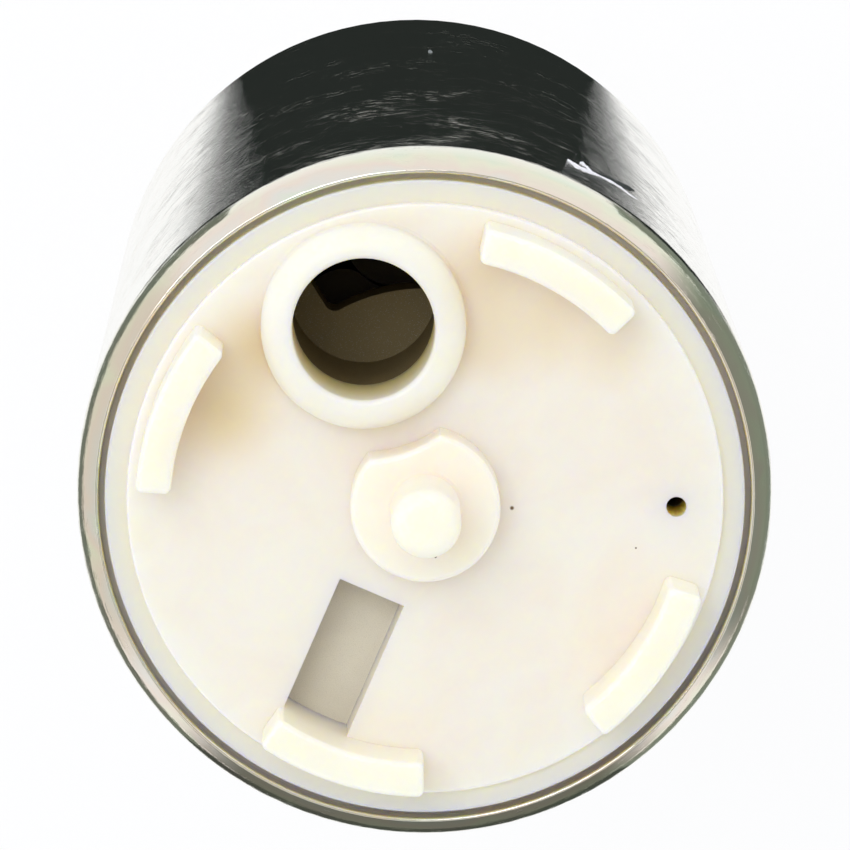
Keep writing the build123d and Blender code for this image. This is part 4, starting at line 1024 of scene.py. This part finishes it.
@dataclass
class Studio:
    """Camera, lamp, floor and the cards that the plated shell mirrors. Lengths in metres."""

    tilt_deg: float = 8.6
    lean_deg: float = 0.5
    distance: float = 0.4068
    aim: tuple[float, float, float] = (0.0, 0.00404, 0.038)
    lens_mm: float = 317.7
    sensor_mm: float = 36.0
    clip: tuple[float, float] = (0.01, 20.0)
    floor_half: float = 3.0
    floor_gap: float = 0.0005
    floor_white: str = "#FAFAFA"
    floor_glow: float = 0.9
    light: str = "#EDF2FF"
    side_light: float = 1.52
    top_light: float = 0.62
    card_rise: float = 0.001
    band_x: float = 0.006
    band_y: float = 0.0303
    band_turn_deg: float = -0.5
    band_half: tuple[float, float] = (0.055, 0.016)
    band_grey: str = "#272B29"
    ring_inner: float = 0.07
    ring_outer: float = 0.16
    ring_steps: int = 16
    ring_arcs: tuple[tuple[str, float, float, str], ...] = (
        ("card_ring_left", 130.0, 235.0, "#777C74"),
        ("card_ring_front", 235.0, 300.0, "#4C504B"),
        ("card_ring_right", 300.0, 410.0, "#858B82"),
    )
    wall_out: float = 0.12
    wall_half: float = 0.11
    wall_plain: float = 0.55
    wall_middle: float = 0.07
    wall_cards: tuple[tuple[str, float, str], ...] = (
        ("card_front", 0.0, "#74776F"),
        ("card_right", 90.0, "#8A9188"),
        ("card_left", -90.0, "#E6E4DC"),
    )
    roof_z: float = 0.52
    roof_half: float = 0.2
    roof_grey: str = "#C4C3B4"
    lamp_at: tuple[float, float, float] = (-0.15, 0.2, 0.6)
    lamp_size: float = 0.35
    lamp_watts: float = 1.25

    def place_camera(self) -> None:
        """Look down on the inlet end, as the photograph does."""
        data = bpy.data.cameras.new("camera")
        data.lens = self.lens_mm
        data.sensor_width = self.sensor_mm
        data.clip_start, data.clip_end = self.clip
        camera = bpy.data.objects.new("camera", data)
        tilt = Matrix.Rotation(math.radians(-self.tilt_deg), 4, "X")
        turn = tilt @ Matrix.Rotation(math.radians(-self.lean_deg), 4, "Y")
        camera.matrix_world = (
            Matrix.Translation(Vector(self.aim)) @ turn @ Matrix.Translation((0, 0, self.distance))
        )
        bpy.context.scene.collection.objects.link(camera)
        bpy.context.scene.camera = camera

    def seen_rays(self, tree: bpy.types.NodeTree, camera_share: float) -> bpy.types.Node:
        """Nodes that say how much of the white background a ray sees.

        Args:
            tree: Node tree to add them to.
            camera_share: What a camera ray gets. Glossy and transmission rays get 1.

        Returns:
            The last node.
        """
        path = add_node(tree, "LightPath").outputs
        seen = {0: path["Is Camera Ray"], 1: camera_share}
        by_camera = add_node(tree, "Math", seen, operation="MULTIPLY")
        either = add_node(tree, "Math", {0: by_camera, 1: path["Is Glossy Ray"]}, operation="MAXIMUM")
        return add_node(tree, "Math", {0: either, 1: path["Is Transmission Ray"]}, operation="MAXIMUM")

    def light_world(self) -> None:
        """A white room: plain light on the pump, and white behind it."""
        world = bpy.data.worlds.new("room")
        world.use_nodes = True
        bpy.context.scene.world = world
        tree = world.node_tree
        tree.nodes.clear()
        aim = add_node(tree, "SeparateXYZ", {"Vector": add_node(tree, "TexCoord").outputs["Generated"]})
        steep = {"Value": aim.outputs["Z"], "To Min": self.side_light, "To Max": self.top_light}
        dull = {"Color": linear(self.light), "Strength": add_node(tree, "MapRange", steep)}
        white = add_node(tree, "Background", {"Color": linear("#FFFFFF"), "Strength": 1.0})
        rays = self.seen_rays(tree, 1.0)
        mixed = add_node(tree, "MixShader", {0: rays, 1: add_node(tree, "Background", dull), 2: white})
        add_node(tree, "OutputWorld", {"Surface": mixed})

    def lay_floor(self) -> None:
        """A white floor just under the outlet nipple. It keeps the pump's shadow."""
        mesh = bmesh.new()
        lift = Matrix.Translation((0, 0, CAD_BOX[0].z - self.floor_gap))
        bmesh.ops.create_grid(mesh, x_segments=1, y_segments=1, size=self.floor_half, matrix=lift)
        floor = put_in_scene("floor", mesh)
        material = bpy.data.materials.new("floor_white")
        material.use_nodes = True
        tree = material.node_tree
        tree.nodes.clear()
        matt = add_node(tree, "BsdfDiffuse", {"Color": linear(self.floor_white)})
        glow = add_node(tree, "Emission", {"Color": linear("#FFFFFF"), "Strength": 1.0})
        mixed = add_node(tree, "MixShader", {0: self.seen_rays(tree, self.floor_glow), 1: matt, 2: glow})
        add_node(tree, "OutputMaterial", {"Surface": mixed})
        floor.data.materials.append(material)

    def set_card(self, name: str, mesh: bmesh.types.BMesh, grey: str, across: Vector | None = None) -> None:
        """Put a plain card in the room that only shiny surfaces see.

        Args:
            name: Name of the card.
            mesh: Its shape.
            grey: Its colour as sRGB hex.
            across: Direction across a card whose two sides fade out. Without it they are sharp.
        """
        card = put_in_scene(name, mesh)
        material = bpy.data.materials.new(name)
        material.use_nodes = True
        tree = material.node_tree
        tree.nodes.clear()
        glow = add_node(tree, "Emission", {"Color": linear(grey), "Strength": 1.0})
        if across is not None:
            place = add_node(tree, "TexCoord").outputs["Object"]
            sideways = {0: place, 1: across}
            aside = add_node(tree, "VectorMath", sideways, operation="DOT_PRODUCT").outputs["Value"]
            off = add_node(tree, "Math", {0: aside}, operation="ABSOLUTE")
            edge = {"Value": off, "From Min": self.wall_plain * self.wall_half, "From Max": self.wall_half}
            fade = add_node(tree, "MapRange", edge, interpolation_type="SMOOTHSTEP")
            glow = add_node(tree, "MixShader", {0: fade, 1: glow, 2: add_node(tree, "BsdfTransparent")})
        add_node(tree, "OutputMaterial", {"Surface": glow})
        card.data.materials.append(material)
        card.visible_camera = False
        card.visible_diffuse = False
        card.visible_shadow = False
        card.visible_transmission = False

    def set_cards(self) -> None:
        """Cards below the pump shade its wall and the lip's edge, and those beside and above the lip."""
        low = CAD_BOX[0].z + self.card_rise
        strip = bmesh.new()
        turn = Matrix.Rotation(math.radians(self.band_turn_deg), 4, "Z")
        turn @= Matrix.Diagonal((*self.band_half, 1, 1))
        place = Matrix.Translation((self.band_x, self.band_y, low)) @ turn
        bmesh.ops.create_grid(strip, x_segments=1, y_segments=1, size=1, matrix=place)
        self.set_card("card_behind", strip, self.band_grey)
        for name, first, last, grey in self.ring_arcs:
            arc = bmesh.new()
            start = Matrix.Rotation(math.radians(first), 4, "Z")
            inner = arc.verts.new(start @ Vector((self.ring_inner, 0, low)))
            outer = arc.verts.new(start @ Vector((self.ring_outer, 0, low)))
            geom = [arc.edges.new((inner, outer)), inner, outer]
            sweep = math.radians(last - first)
            spun = {"geom": geom, "cent": (0, 0, 0), "axis": (0, 0, 1), "angle": sweep}
            bmesh.ops.spin(arc, steps=self.ring_steps, **spun)
            self.set_card(name, arc, grey)
        for name, turn, grey in self.wall_cards:
            wall = bmesh.new()
            upright = Matrix.Rotation(math.radians(90), 4, "X")
            out = Matrix.Translation((0, -self.wall_out, self.wall_middle))
            around = Matrix.Rotation(math.radians(turn), 4, "Z")
            place = around @ out @ upright
            bmesh.ops.create_grid(wall, x_segments=1, y_segments=1, size=self.wall_half, matrix=place)
            self.set_card(name, wall, grey, around @ Vector((1, 0, 0)))
        roof = bmesh.new()
        place = Matrix.Translation((0, 0, self.roof_z))
        bmesh.ops.create_grid(roof, x_segments=1, y_segments=1, size=self.roof_half, matrix=place)
        self.set_card("card_above", roof, self.roof_grey)

    def set_lamp(self) -> None:
        """Hang a square softbox that faces the pump's rim."""
        data = bpy.data.lights.new("lamp_above", "AREA")
        data.size = self.lamp_size
        data.energy = self.lamp_watts
        lamp = bpy.data.objects.new("lamp_above", data)
        place = Vector(self.lamp_at)
        facing = (Vector(self.aim) - place).to_track_quat("-Z", "Y")
        lamp.matrix_world = Matrix.Translation(place) @ facing.to_matrix().to_4x4()
        lamp.visible_camera = False
        bpy.context.scene.collection.objects.link(lamp)

    def set_up(self) -> None:
        """Place everything that isn't the pump."""
        bpy.context.scene.view_settings.view_transform = "Standard"
        self.place_camera()
        self.light_world()
        self.lay_floor()
        self.set_cards()
        self.set_lamp()


def main() -> None:
    """Dress the pump's assemblies in order and set up the studio."""
    for assembly in (Housing(), InletEnd(), GearSection(), Motor(), OutletEnd()):
        assembly.dress()
    Studio().set_up()


if __name__ == "__main__":
    logging.basicConfig(level=logging.INFO, format="%(message)s")
    main()
